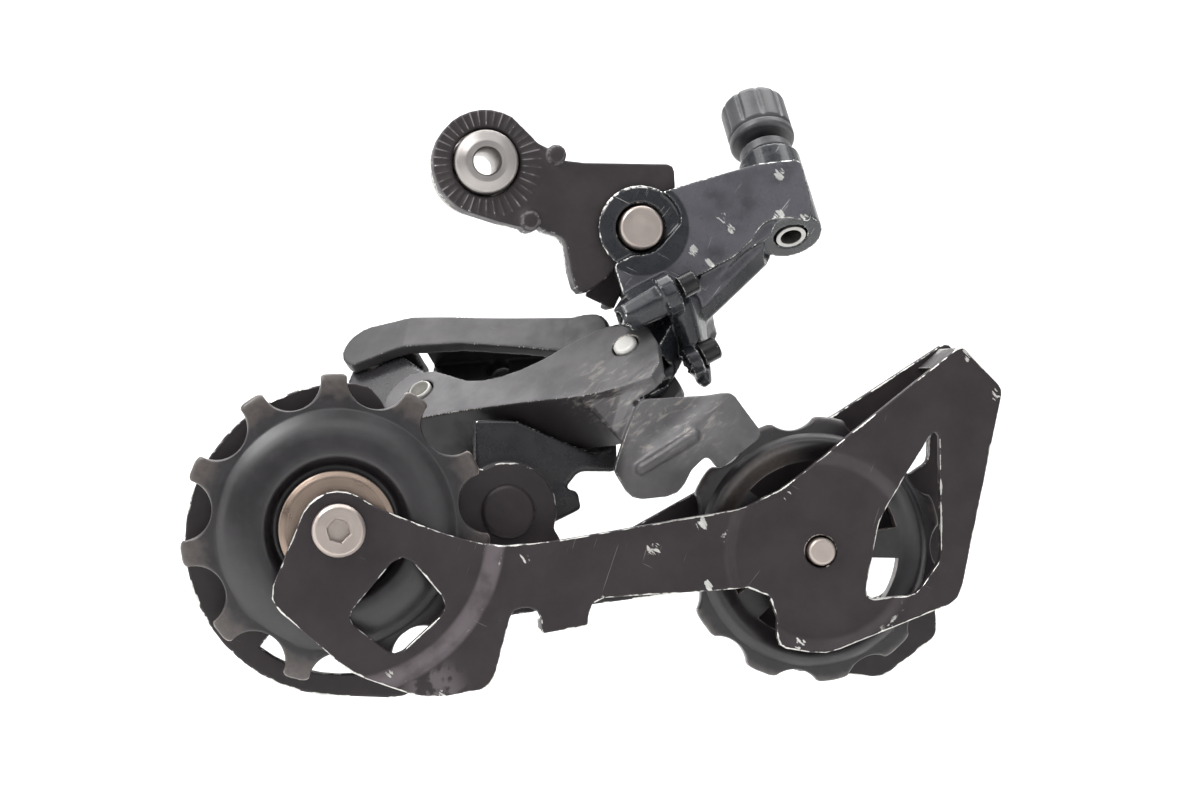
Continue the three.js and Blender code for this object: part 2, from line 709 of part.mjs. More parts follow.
function cableClamp() {
  const plate = slab(
    outline([-3.4, -3, 0.8], [3.4, -3, 0.8], [3.4, 3, 0.8], [-3.4, 3, 0.8]),
    GAP,
    CLAMP_PLATE_TOP,
  );
  const bolt = socketScrew(1.6, 3.7, 3.2, 3.4, 4).translate(0, CLAMP_PLATE_TOP + GAP, 0);
  return {
    cable_clamp_plate: aim(cut(plate, rod(2, -1, 3, undefined, 18)), CLAMP_AT, CLAMP_DIRECTION),
    cable_clamp_bolt: aim(bolt, CLAMP_AT, CLAMP_DIRECTION),
  };
}

function linkPin(centre, top, bottom) {
  const body = turnedSolid([
    [0, bottom], [PIN_RADIUS, bottom], [PIN_RADIUS, top - 0.3], [PIN_RADIUS - 0.3, top], [0, top],
  ], undefined, 18);
  const axis = new THREE.Vector3(0, 0, 1);
  return aim(body, new THREE.Vector3(centre.x, centre.y, 0), axis).applyMatrix4(LINK_FRAME);
}

function returnSpring() {
  const axis = new THREE.Vector3(0, 0, 1);
  const wire = coil(2.95, 0.9, SPRING_SLOT.bottom + 0.8, SPRING_SLOT.top - 0.8, 1.75);
  return aim(wire, new THREE.Vector3(), axis).applyMatrix4(LINK_FRAME);
}

// ---------------------------------------------------------------- lower (pulley) knuckle

const BOSS = { front: -3.2, back: 18, radius: 7.6 };

function lowerKnuckle() {
  const column = { x: 49, y: -3.5 };
  const lug = slantedSlab(
    wrapOutline([
      { ...INNER_P, radius: 4.1 },
      { ...OUTER_P, radius: 3.3 },
      { ...column, radius: 3.5 },
    ]),
    -9.2,
    -2.3,
  );
  const post = slantedSlab(wrapOutline([{ ...column, radius: 3.5 }]), -16.5, -2.5);
  const arm = hull([
    ...inLinkFrame([...discPoints(column, 3.5, -12.8), ...discPoints(column, 3.2, -18)]),
    ...rimPoints(P_AXLE, 7.4, 12.8),
    ...rimPoints(P_AXLE, 6.4, BOSS.back),
  ]);
  const boss = turnedSolid([
    [0, BOSS.front], [BOSS.radius - 0.6, BOSS.front], [BOSS.radius, BOSS.front + 0.7],
    [BOSS.radius, BOSS.back - 1.5], [BOSS.radius - 1.5, BOSS.back], [0, BOSS.back],
  ], P_AXLE, 26);
  const restLug = slab(
    outline([6, -50.5], [11.8, -50.6, 0.6], [14, -51, 0.8], [14.6, -53.8, 0.8], [8, -57]),
    BOSS.front + 0.4,
    2,
  );
  const web = slab(
    outline([-2, -40], [20, -40], [20.3, -48.1, 0.8], [14.2, -48, 1.6], [12, -50.8], [-2, -52]),
    BOSS.front + 0.6,
    1.2,
  );
  const stopLug = slab(
    wrapOutline([{ x: P_AXLE.x, y: P_AXLE.z, radius: 6 }, { x: -0.4, y: -63.4, radius: 1.9 }]),
    BOSS.front,
    0.4,
  );
  const innerLinkRoom = slantedSlab(
    outline([-9, 10.3], [13, 9.4], [28, 7.8], [36, 7.6], [42.8, 4], [43, -8], [-9, -8]),
    -12.4,
    2,
  );
  return cut(
    join(cut(join(boss, arm, restLug, web, stopLug), innerLinkRoom), post, lug),
    rod(5.9, -5, 8.5, P_AXLE, 22),
    rod(P_AXLE_RADIUS + 1.6, 7, 20, P_AXLE, 18),
    rod(6.3, 16.2, 20, P_AXLE, 20),
    pinHole(INNER_P, PIN_RADIUS + GAP),
    pinHole(OUTER_P, PIN_RADIUS + GAP),
  );
}

function lowerKnuckleFittings() {
  return {
    p_axle_bush: ring(P_AXLE_RADIUS + GAP, P_AXLE_RADIUS + 1.3, 8.7, 15.9, P_AXLE, 18),
    p_spring: coil(4.75, 1.2, 0.4, 6.6, 3.75, P_AXLE),
    p_seal: ring(P_AXLE_RADIUS + GAP, 5.6, -2.9, -1.6, P_AXLE, 20),
    p_cap: turnedSolid([[0, 17.4], [6, 17.4], [6, 18.4], [5, 19.2], [0, 19.2]], P_AXLE, 20),
  };
}

// ---------------------------------------------------------------- chain cage

const plateHole = (centre, radius, steps = 16) => arc(centre, radius, 0, 360 - 360 / steps, steps - 1);

function innerPlateOutline() {
  return outline(
    [-34, -66.3, 3.2],
    arc(GUIDE, 5.8, 152, 62, 6),
    smooth([[-18.2, -52.6], [-11.9, -55.2], [-5, -57.6], [1, -58.5], [9.2, -57.8]]),
    [37.5, -53.2, 8],
    smooth([[43.1, -50.5], [47.8, -47.1], [52.2, -43.3]], 5),
    [71.3, -28.5, 0.9],
    [77.9, -35.2, 2],
    [71, -67.6, 3.6],
    [50, -75.6, 9],
    [42.5, -74.3, 1.6],
    [42.9, -65.1, 4.4],
    [13.5, -66.6, 2.6],
    [13.6, -70.6, 0.5],
    [6.6, -71.7, 0.3],
    [6.3, -67.8, 1.8],
    [2.2, -67.8, 1.8],
    [-1, -79.6, 2.6],
    [-10.5, -81.2, 12],
    [-21.5, -77.4, 10],
  );
}

const GUIDE_WINDOW = outline([-22.6, -69.1, 1.6], [-14.1, -59.1, 2], [-7, -67.6, 2], [-15.2, -75, 1.8]);
const TENSION_WINDOW = outline(
  [67.8, -40.2, 0.7], [68.1, -61.2, 3], [64.2, -66.6, 3],
  [56.2, -67.4, 1.3], [58.6, -55.5, 8], [62.4, -48.4, 3],
);

// Presses the plate towards the pulley inside a circle, with a cone between the two levels.
function dished(plate, tool, centre, flatRadius, rimRadius) {
  const front = INNER_PLATE_Y;
  const rest = cut(plate, rod(rimRadius, front - 1, front + PLATE + 1, centre, 30));
  const floor = common(tool, rod(flatRadius, front + DISH_DEPTH, front + DISH_DEPTH + PLATE, centre, 30));
  const cone = common(
    tool,
    turned([
      [flatRadius - 0.05, front + DISH_DEPTH], [rimRadius + 0.05, front],
      [rimRadius + 0.05, front + PLATE], [flatRadius - 0.05, front + DISH_DEPTH + PLATE],
    ], centre, 30),
  );
  return join(rest, cone, floor);
}

function innerCagePlate() {
  const shape = innerPlateOutline();
  const flat = slab(shape, INNER_PLATE_Y, INNER_PLATE_Y + PLATE);
  const tool = slab(shape, INNER_PLATE_Y - 1, INNER_PLATE_Y + PLATE + 2);
  const guideEnd = dished(flat, tool, GUIDE, 22, 24.6);
  const bothEnds = dished(guideEnd, tool, TENSION, 13, 15.4);
  const tipTab = slab(
    outline(
      [67.6, -31.9], [71, -28.7, 0.7], [73.6, -31.2, 0.5], [72.6, -32.2], [70.8, -30.6], [68.6, -32.8],
    ),
    INNER_PLATE_Y + 0.5,
    OUTER_PLATE_Y - GAP,
  );
  const guardTab = slab(
    outline([6.9, -71.5], [13.4, -70.4], [13.3, -69], [6.8, -70.1]),
    INNER_PLATE_Y + 0.5,
    -9,
  );
  return cut(
    join(bothEnds, tipTab, guardTab),
    slab(GUIDE_WINDOW, INNER_PLATE_Y - 2, INNER_PLATE_Y + 4),
    slab(TENSION_WINDOW, INNER_PLATE_Y - 2, INNER_PLATE_Y + 4),
    rod(2.8, INNER_PLATE_Y - 2, INNER_PLATE_Y + 4, GUIDE, 20),
    rod(2.45, INNER_PLATE_Y - 2, INNER_PLATE_Y + 4, TENSION, 20),
  );
}

function outerCagePlate() {
  const guideEnd = { x: -22.3, z: -58.1 };
  const shape = outline(
    arc(guideEnd, 23.7, 98, 262, 20),
    [-13, -82.3, 6],
    [2, -70, 6],
    [38, -65.8, 5],
    [46, -79, 5],
    [62, -80.4, 3.5],
    [70.8, -74, 2.5],
    [70.4, -67, 3],
    [76.2, -35.6, 2],
    [72.8, -27.4, 1.4],
    [54.8, -38.8, 4],
    [21.6, -56.9, 6],
    [12.2, -60.8, 2],
    arc(P_AXLE, 7.6, -20, 120, 7),
    [-12.5, -46, 6],
    [-18, -34.2, 4],
  );
  const crescent = [...arc(guideEnd, 20.3, 232, 318, 12), ...arc(guideEnd, 17, 318, 232, 12)];
  const upperWindow = outline([69.6, -37.6, 0.8], [69.2, -46.6, 1.6], [65.4, -49, 1.4], [61.6, -45.5, 1.2]);
  const lowerWindow = outline([55.6, -62.6, 1.2], [67.4, -57.5, 1.5], [66.6, -63.4, 2], [60.4, -68.8, 1.8]);
  return slab(shape, OUTER_PLATE_Y, OUTER_PLATE_Y + PLATE, [
    plateHole(P_AXLE, P_AXLE_RADIUS + GAP),
    plateHole(GUIDE, 2.8),
    plateHole(TENSION, 2.45),
    crescent,
    upperWindow,
    lowerWindow,
  ]);
}

function cageHardware() {
  const washerY = OUTER_PLATE_Y + PLATE + GAP;
  const stop = polar(P_AXLE, 10, 228);
  const guideHead = INNER_PLATE_Y + DISH_DEPTH - GAP;
  const guideBolt = turnedSolid([
    [0, guideHead - 1.7], [3.5, guideHead - 1.7], [4, guideHead - 1.2], [4, guideHead],
    [2.5, guideHead], [2.5, washerY + 0.2], [0, washerY + 0.2],
  ], GUIDE, 24);
  const tensionPin = turnedSolid([
    [0, -16.9], [1.8, -16.9], [2.15, -16.5], [2.15, OUTER_PLATE_Y + PLATE + GAP],
    [3.4, OUTER_PLATE_Y + PLATE + GAP], [3, washerY + 0.8], [0, washerY + 0.8],
  ], TENSION, 20);
  return {
    p_axle: turnedSolid([
      [0, OUTER_PLATE_Y - 0.8], [3.7, OUTER_PLATE_Y - 0.8], [4.2, OUTER_PLATE_Y - GAP],
      [P_AXLE_RADIUS, OUTER_PLATE_Y - GAP], [P_AXLE_RADIUS, 16.4], [2.6, 17], [0, 17],
    ], P_AXLE, 20),
    cage_stop_pin: rod(1.3, OUTER_PLATE_Y + PLATE + GAP, -0.4, { x: stop.x, z: stop.y }, 10),
    guide_pulley_bolt: cut(guideBolt, hexPrism(3, guideHead - 3, guideHead - 0.2, GUIDE)),
    tension_pulley_pin: tensionPin,
  };
}

// ---------------------------------------------------------------- pulleys

// Tooth outline: between the teeth, cut off at the tip radius, lie round seats for the chain's
// rollers, worn wider than the rollers themselves.
function toothOutline(tipRadius, firstTooth) {
  const step = 360 / TEETH;
  const seat = { x: PITCH_RADIUS - ROLLER_RADIUS + SEAT_RADIUS, y: 0 };
  const reach = seat.x ** 2 + SEAT_RADIUS ** 2 - tipRadius ** 2;
  const halfArc = THREE.MathUtils.radToDeg(Math.acos(reach / (2 * seat.x * SEAT_RADIUS)));
  const seatArc = arc(seat, SEAT_RADIUS, 180 + halfArc, 180 - halfArc, 5);
  return Array.from({ length: TEETH }, (_, i) => {
    const turn = degrees(firstTooth + step * (i + 0.5));
    return seatArc.map((point) => point.clone().rotateAround(new THREE.Vector2(), turn));
  }).flat();
}

function chainPulley(centre, tipRadius, firstTooth, halfSection, boreRadius, windows = []) {
  const rim = toothOutline(tipRadius, firstTooth).map(
    ({ x, y }) => new THREE.Vector2(x + centre.x, y + centre.z),
  );
  const disc = slab(rim, PULLEY_Y - TOOTH_HALF_WIDTH, PULLEY_Y + TOOTH_HALF_WIDTH);
  const lower = halfSection.map(([radius, half]) => [radius, PULLEY_Y - half]);
  const upper = halfSection.map(([radius, half]) => [radius, PULLEY_Y + half]).reverse();
  const body = turned([...lower, ...upper], centre, 26);
  const core = rod(halfSection[0][0] + 0.5, PULLEY_Y - 5, PULLEY_Y + 5, centre, 22);
  const bore = rod(boreRadius, PULLEY_Y - 5, PULLEY_Y + 5, centre, 22);
  return cut(join(cut(disc, core), body), bore, ...windows);
}

const BUSH_RADIUS = 4.2;

function guidePulley() {
  const section = [[4.6, 2.2], [9.3, 2.2], [10, 3.3], [13.4, 3.4], [16.6, 2.6], [18, 1.1]];
  return chainPulley(GUIDE, 23.2, 91, section, BUSH_RADIUS + GAP);
}

function tensionPulley() {
  const section = [[4.6, 2.9], [7.2, 2.9], [9, 0.9], [13.8, 0.9], [16.2, 2.3], [17.2, 2.3], [18, 1.1]];
  const windows = Array.from({ length: 5 }, (_, i) => {
    const middle = 112 + 72 * i;
    const rimSide = arc(TENSION, 13.7, middle - 26, middle + 26, 5);
    const hubSide = arc(TENSION, 9.3, middle + 24, middle - 24, 5);
    return slab([...rimSide, ...hubSide], PULLEY_Y - 5, PULLEY_Y + 5);
  });
  return chainPulley(TENSION, 20.5, 279, section, BUSH_RADIUS + GAP, windows);
}

// A dished steel cap that covers the pulley's bearing; side is -1 inboard and +1 outboard.
function dustCap(centre, shaftRadius, radius, side, base) {
  const level = (height) => PULLEY_Y + side * (base + height);
  const section = [
    [shaftRadius + GAP, level(0.1)], [radius - 0.8, level(0.1)], [radius, level(-0.2)],
    [radius, level(0.25)], [radius - 0.9, level(0.65)], [shaftRadius + GAP, level(0.65)],
  ];
  return turned(side > 0 ? section : section.reverse(), centre, 28);
}

function pulleyBearings() {
  const bush = (centre, shaft) =>
    ring(shaft + GAP, BUSH_RADIUS, PULLEY_Y - 2.5, PULLEY_Y + 2.6, centre, 18);
  return {
    guide_bush: bush(GUIDE, 2.5),
    guide_cap_inner: dustCap(GUIDE, 2.5, 8.8, -1, 3),
    guide_cap_outer: dustCap(GUIDE, 2.5, 8.8, 1, 3),
    guide_spacer: ring(2.5 + GAP, 4, PULLEY_Y + 3.9, OUTER_PLATE_Y - GAP, GUIDE, 18),
    tension_bush: bush(TENSION, 2.15),
    tension_cap_inner: dustCap(TENSION, 2.15, 6.6, -1, 3.25),
    tension_cap_outer: dustCap(TENSION, 2.15, 6.6, 1, 3.25),
  };
}

// ---------------------------------------------------------------- assembly

function piece(name, geometry, material) {
  const mesh = new THREE.Mesh(geometry, material);
  mesh.name = name;
  return mesh;
}

function pieces(geometries, materials) {
  return Object.entries(geometries).map(([name, geometry]) => piece(name, geometry, materials[name]));
}

function group(...children) {
  const assembly = new THREE.Group();
  assembly.add(...children);
  return assembly;
}

const hanger = group(
  piece("hanger_link", hangerLink(), MATTE_BLACK),
  piece("hanger_bolt", hangerBolt(), STEEL),
  piece("bolt_washer", ring(BOLT_RADIUS + GAP, 7.3, 10.7, BOLT_HEAD_Y - GAP, undefined, 24), STEEL),
  piece("bolt_stop_ring", ring(BOLT_RADIUS + GAP, 6.2, 4, 5, undefined, 24), SPRING_STEEL),
  piece("stop_plate", stopPlate(), MATTE_BLACK),
  piece("b_axle", pivotAxle(), STEEL),
);

const bracket = group(
  piece("upper_knuckle", upperKnuckle(), GLOSS_BLACK),
  ...pieces(upperKnuckleFittings(), {
    b_axle_bush: BRONZE,
    b_spring: SPRING_STEEL,
    b_spring_cover: MATTE_BLACK,
    b_pivot_seal: RUBBER,
  }),
  piece("adjuster_sleeve", adjusterSleeve(), STEEL),
  piece("high_limit_screw", limitScrew(LIMIT_HEADS[0], 12.4), GLOSS_BLACK),
  piece("low_limit_screw", limitScrew(LIMIT_HEADS[1], 4.6), GLOSS_BLACK),
  piece("b_tension_screw", tensionScrew(), GLOSS_BLACK),
  piece("adjuster_knob", adjusterKnob(), RESIN),
  ...pieces(adjusterFittings(), { adjuster_barrel: RESIN, adjuster_detent_spring: SPRING_STEEL }),
);

const linkage = group(
  piece("inner_link", innerLink(), SATIN_GREY),
  piece("outer_link", outerLink(), SATIN_GREY),
  piece("inner_pin_upper", linkPin(INNER_B, 0.5, -11.8), STEEL),
  piece("outer_pin_upper", linkPin(OUTER_B, OUTER_PIN_TOP.upper, -16.2), STEEL),
  piece("inner_pin_lower", linkPin(INNER_P, 0.5, -11.8), STEEL),
  piece("outer_pin_lower", linkPin(OUTER_P, OUTER_PIN_TOP.lower, -12.2), STEEL),
  piece("return_spring", returnSpring(), SPRING_STEEL),
  ...pieces(cableClamp(), { cable_clamp_plate: STEEL, cable_clamp_bolt: STEEL }),
);

const lower = group(
  piece("lower_knuckle", lowerKnuckle(), GLOSS_BLACK),
  ...pieces(lowerKnuckleFittings(), {
    p_axle_bush: BRONZE,
    p_spring: SPRING_STEEL,
    p_seal: RUBBER,
    p_cap: MATTE_BLACK,
  }),
);

const cage = group(
  piece("inner_cage_plate", innerCagePlate(), MATTE_BLACK),
  piece("outer_cage_plate", outerCagePlate(), MATTE_BLACK),
  ...pieces(cageHardware(), {
    p_axle: STEEL,
    cage_stop_pin: STEEL,
    guide_pulley_bolt: STEEL,
    tension_pulley_pin: STEEL,
  }),
  ...pieces(pulleyBearings(), {
    guide_bush: BRONZE,
    guide_cap_inner: NICKEL,
    guide_cap_outer: NICKEL,
    guide_spacer: STEEL,
    tension_bush: BRONZE,
    tension_cap_inner: NICKEL,
    tension_cap_outer: NICKEL,
  }),
  piece("guide_pulley", guidePulley(), RESIN),
  piece("tension_pulley", tensionPulley(), RESIN),
);

export default group(hanger, bracket, linkage, lower, cage);
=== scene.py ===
"""Looks for the rear bicycle derailleur: worn paint, bright steel and dark resin."""

import json
import math

import bmesh
import bpy
import numpy as np
from mathutils import Matrix, Vector, geometry, noise

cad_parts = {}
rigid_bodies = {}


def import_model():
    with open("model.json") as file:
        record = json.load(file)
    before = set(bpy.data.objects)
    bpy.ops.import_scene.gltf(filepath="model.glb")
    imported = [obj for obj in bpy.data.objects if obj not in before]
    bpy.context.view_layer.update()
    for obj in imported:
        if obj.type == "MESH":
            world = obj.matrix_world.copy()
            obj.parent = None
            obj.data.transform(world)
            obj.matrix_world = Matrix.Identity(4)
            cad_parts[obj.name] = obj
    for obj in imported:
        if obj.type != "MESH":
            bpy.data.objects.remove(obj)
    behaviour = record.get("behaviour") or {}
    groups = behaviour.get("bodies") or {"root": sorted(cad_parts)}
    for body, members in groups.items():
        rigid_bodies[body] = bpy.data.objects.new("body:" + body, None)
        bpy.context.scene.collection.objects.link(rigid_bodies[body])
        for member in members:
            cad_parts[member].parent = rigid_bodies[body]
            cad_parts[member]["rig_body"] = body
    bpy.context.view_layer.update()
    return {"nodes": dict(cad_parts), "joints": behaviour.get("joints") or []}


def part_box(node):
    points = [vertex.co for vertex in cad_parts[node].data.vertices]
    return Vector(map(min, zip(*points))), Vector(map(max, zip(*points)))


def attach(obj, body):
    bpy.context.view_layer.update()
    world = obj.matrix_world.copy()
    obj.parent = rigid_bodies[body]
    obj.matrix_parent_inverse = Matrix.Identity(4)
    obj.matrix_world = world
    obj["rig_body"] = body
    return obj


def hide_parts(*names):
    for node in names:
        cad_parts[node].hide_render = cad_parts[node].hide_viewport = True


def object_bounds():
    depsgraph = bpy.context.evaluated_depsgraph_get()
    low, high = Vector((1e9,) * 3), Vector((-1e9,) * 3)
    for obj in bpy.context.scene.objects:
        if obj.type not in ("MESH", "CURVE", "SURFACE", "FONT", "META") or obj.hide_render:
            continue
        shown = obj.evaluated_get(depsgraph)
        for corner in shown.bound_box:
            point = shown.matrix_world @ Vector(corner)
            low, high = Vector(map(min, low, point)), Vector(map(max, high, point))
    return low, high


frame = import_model()

MM = 0.001
Y_AXIS = Vector((0, 1, 0))
JOINTS = {joint["name"]: joint for joint in frame["joints"]}
BODY_OF = {name: node["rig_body"] for name, node in frame["nodes"].items()}


def joint_axis(joint):
    """Direction of a joint's axis."""
    return Vector(JOINTS[joint]["axis"]).normalized()


def joint_centre(joint):
    """Where a joint's axis stands, as (x, z) in millimetres."""
    x, _, z = JOINTS[joint]["pos_m"]
    return np.array((x, z)) / MM


HANGER = joint_centre("bolt_turn")
GUIDE = joint_centre("guide_pulley_spin")
TENSION = joint_centre("tension_pulley_spin")
EYE = joint_centre("bracket_pivot")


def box_centre(node, joint=None):
    """The middle of a node's box, moved onto the joint's axis if one is given."""
    low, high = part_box(node)
    middle = (low + high) / 2
    if joint is None:
        return middle
    anchor = Vector(JOINTS[joint]["pos_m"])
    axis = joint_axis(joint)
    return anchor + axis * (middle - anchor).dot(axis)


def box_depth(node):
    """Lowest and highest Y of a node, in millimetres."""
    low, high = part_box(node)
    return low.y / MM, high.y / MM


# ---- finding outlines in the CAD nodes


def welded(node):
    """A bmesh copy of a CAD node with its split vertices merged."""
    mesh = bmesh.new()
    mesh.from_mesh(frame["nodes"][node].data)
    bmesh.ops.remove_doubles(mesh, verts=mesh.verts, dist=1e-6)
    return mesh


def chains(edges):
    """Runs of connected vertices, open ones from end to end and closed ones once round."""
    links = {}
    for edge in edges:
        a, b = edge.verts
        links.setdefault(a, set()).add(b)
        links.setdefault(b, set()).add(a)
    found = []
    while links:
        start = next((v for v in links if len(links[v]) == 1), next(iter(links)))
        run = [start]
        while links.get(run[-1]):
            following = min(links[run[-1]], key=lambda v: v.index)
            links[run[-1]].discard(following)
            links[following].discard(run[-1])
            run.append(following)
        for vertex in run:
            if not links.get(vertex):
                links.pop(vertex, None)
        found.append(run)
    return found


def cut_edges(mesh, point, normal, clear=False):
    geom = [*mesh.verts, *mesh.edges, *mesh.faces]
    cut = bmesh.ops.bisect_plane(
        mesh, geom=geom, plane_co=point, plane_no=normal, dist=1e-8, clear_inner=clear
    )["geom_cut"]
    mesh.verts.index_update()
    return [item for item in cut if isinstance(item, bmesh.types.BMEdge)]


def plate_loops(node, level):
    """Closed (x, z) outlines of a node cut at a level along Y, in millimetres, the outer one first."""
    mesh = welded(node)
    edges = cut_edges(mesh, Vector((0, level * MM, 0)), Y_AXIS)
    loops = []
    for run in chains(edges):
        loop = np.array([(v.co.x, v.co.z) for v in run]) / MM
        if np.allclose(loop[0], loop[-1]):
            loop = loop[:-1]
        if len(loop) > 2 and abs(area(loop)) > 0.3:
            loops.append(loop)
    mesh.free()
    loops.sort(key=lambda loop: -abs(area(loop)))
    outer, *holes = loops
    return [outer if area(outer) > 0 else outer[::-1]] + [
        hole if area(hole) < 0 else hole[::-1] for hole in holes
    ]


def area(loop):
    x, z = loop.T
    return 0.5 * float(np.sum(x * np.roll(z, -1) - np.roll(x, -1) * z))


def turned_profile(node, axis, centre):
    """Half section of a turned node as (radius, height) in millimetres from centre."""
    aside = axis.orthogonal().normalized()
    aside.rotate(Matrix.Rotation(0.41, 3, axis))
    across = axis.cross(aside)
    mesh = welded(node)
    cut_edges(mesh, centre, aside, clear=True)
    edges = cut_edges(mesh, centre, across)
    run = max(chains(edges), key=len)
    profile = np.array([((v.co - centre).dot(aside), (v.co - centre).dot(axis)) for v in run]) / MM
    mesh.free()
    return profile


# ---- smoothing outlines

OUTLINE_STEP = 0.45
SHARP_CORNER = math.radians(52)


def lengths(vectors):
    return np.linalg.norm(vectors, axis=1)


def unit(vectors):
    return vectors / lengths(vectors)[:, None]


def steps_at(points):
    """The steps that lead to each point of a loop and on from it."""
    return points - np.roll(points, 1, axis=0), np.roll(points, -1, axis=0) - points


def turn_angles(points):
    before, after = steps_at(points)
    cross = before[:, 0] * after[:, 1] - before[:, 1] * after[:, 0]
    return np.arctan2(cross, (before * after).sum(axis=1))


def refined(loop):
    """The loop with its arcs made round again and its points closer together. Sharp corners stay."""
    _, after = steps_at(loop)
    length = lengths(after)
    direction = after / length[:, None]
    previous, previous_length = np.roll(direction, 1, axis=0), np.roll(length, 1)
    blend = previous * length[:, None] + direction * previous_length[:, None]
    blend[previous_length > 3 * length] = previous[previous_length > 3 * length]
    blend[length > 3 * previous_length] = direction[length > 3 * previous_length]
    tangent = unit(blend)
    corner = np.abs(turn_angles(loop)) > SHARP_CORNER
    points = []
    for i in range(len(loop)):
        j = (i + 1) % len(loop)
        start = direction[i] if corner[i] else tangent[i]
        end = direction[i] if corner[j] else tangent[j]
        count = max(1, math.ceil(length[i] / OUTLINE_STEP))
        t = (np.arange(count) / count)[:, None]
        points.append(
            loop[i] * (2 * t**3 - 3 * t**2 + 1)
            + loop[j] * (3 * t**2 - 2 * t**3)
            + length[i] * start * (t**3 - 2 * t**2 + t)
            + length[i] * end * (t**3 - t**2)
        )
    return np.concatenate(points)


def leftward(vectors):
    """The vectors turned left by a quarter turn."""
    return np.stack([-vectors[:, 1], vectors[:, 0]], axis=1)


def inset(loop, distance):
    """Moves each point of a loop by its distance towards the material, which lies on the left."""
    before, after = (unit(step) for step in steps_at(loop))
    side = unit(leftward(before + after))
    straight = leftward(before)
    mitre = np.clip((side * straight).sum(axis=1), 0.7, 1)
    return loop + side * (distance / mitre)[:, None]


def wavering(points, scale, seed):
    """Smooth noise from -1 to 1 for each (x, z) point; scale is its size in millimetres."""
    return np.array([noise.noise(Vector((x / scale, z / scale, seed))) for x, z in points])


def inside(points, loops):
    """Which points lie within the loops, holes left out."""
    found = np.zeros(len(points), bool)
    for loop in loops:
        a, b = loop, np.roll(loop, -1, axis=0)
        crosses = (a[None, :, 1] > points[:, None, 1]) != (b[None, :, 1] > points[:, None, 1])
        rise = np.where(a[:, 1] == b[:, 1], 1, b[:, 1] - a[:, 1])
        at = a[:, 0] + (points[:, None, 1] - a[:, 1]) * (b[:, 0] - a[:, 0]) / rise
        found ^= (crosses & (points[:, None, 0] < at)).sum(axis=1) % 2 == 1
    return found


def distance_to(points, loops):
    """How far each point is from the nearest one of the loops."""
    line = np.concatenate(loops)
    chunks = np.array_split(points, max(1, len(points) // 500))
    found = [np.linalg.norm(chunk[:, None] - line[None], axis=2).min(axis=1) for chunk in chunks]
    return np.concatenate(found)


# ---- making pieces

CUT_EDGE_ANGLE = math.radians(38)
FULL_WEAR_EDGE = 0.22


def add_object(name, data):
    made = bpy.data.objects.new(name, data)
    bpy.context.scene.collection.objects.link(made)
    return made


def copied(node, name):
    """A new object with a CAD node's shape."""
    shape = welded(node)
    mesh = bpy.data.meshes.new(name)
    shape.to_mesh(mesh)
    shape.free()
    return add_object(name, mesh)


def new_piece(name, verts, faces):
    """A smooth-shaded object from vertices in millimetres."""
    mesh = bpy.data.meshes.new(name)
    mesh.from_pydata([tuple(v) for v in np.asarray(verts, float) * MM], [], faces)
    mesh.validate()
    mesh.shade_smooth()
    return add_object(name, mesh)


def apply_modifiers(piece):
    graph = bpy.context.evaluated_depsgraph_get()
    mesh = bpy.data.meshes.new_from_object(piece.evaluated_get(graph))
    piece.modifiers.clear()
    old, piece.data = piece.data, mesh
    bpy.data.meshes.remove(old)
    mesh.shade_smooth()


def combine(piece, tool, operation):
    """Cuts the tool out of the piece, or joins it on, and removes the tool."""
    modifier = piece.modifiers.new(operation, "BOOLEAN")
    modifier.operation = operation
    modifier.solver = "MANIFOLD"
    modifier.object = tool
    apply_modifiers(piece)
    piece.data.set_sharp_from_angle(angle=CUT_EDGE_ANGLE)
    tool_mesh = tool.data
    bpy.data.objects.remove(tool)
    bpy.data.meshes.remove(tool_mesh)


def values_of(items, key, width=3, kind=float):
    """One property of a mesh's vertices or edges, with a row for each."""
    values = np.empty(len(items) * width, kind)
    items.foreach_get(key, values)
    return values.reshape(-1, width)


def mark_edges(piece):
    """Stores in the attribute "edge" how sharply each vertex stands out, from 0 to 1."""
    mesh = piece.data
    count = len(mesh.vertices)
    at = values_of(mesh.vertices, "co")
    normal = values_of(mesh.vertices, "normal")
    a, b = values_of(mesh.edges, "vertices", 2, int).T
    along = at[b] - at[a]
    along /= np.maximum(lengths(along), 1e-12)[:, None]
    total = np.bincount(a, -(along * normal[a]).sum(axis=1), count)
    total += np.bincount(b, (along * normal[b]).sum(axis=1), count)
    degree = np.bincount(a, minlength=count) + np.bincount(b, minlength=count)
    value = total / np.maximum(degree, 1)
    store(piece, "edge", np.clip(value / FULL_WEAR_EDGE, 0, 1))


def store(piece, name, values):
    attributes = piece.data.attributes
    found = attributes.get(name) or attributes.new(name, "FLOAT", "POINT")
    found.data.foreach_set("value", np.asarray(values, np.float32))


def stands_for(piece, node, material):
    """The piece takes a CAD node's place and body, and gets its material."""
    mark_edges(piece)
    piece.data.materials.clear()
    piece.data.materials.append(material)
    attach(piece, BODY_OF[node])
    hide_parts(node)


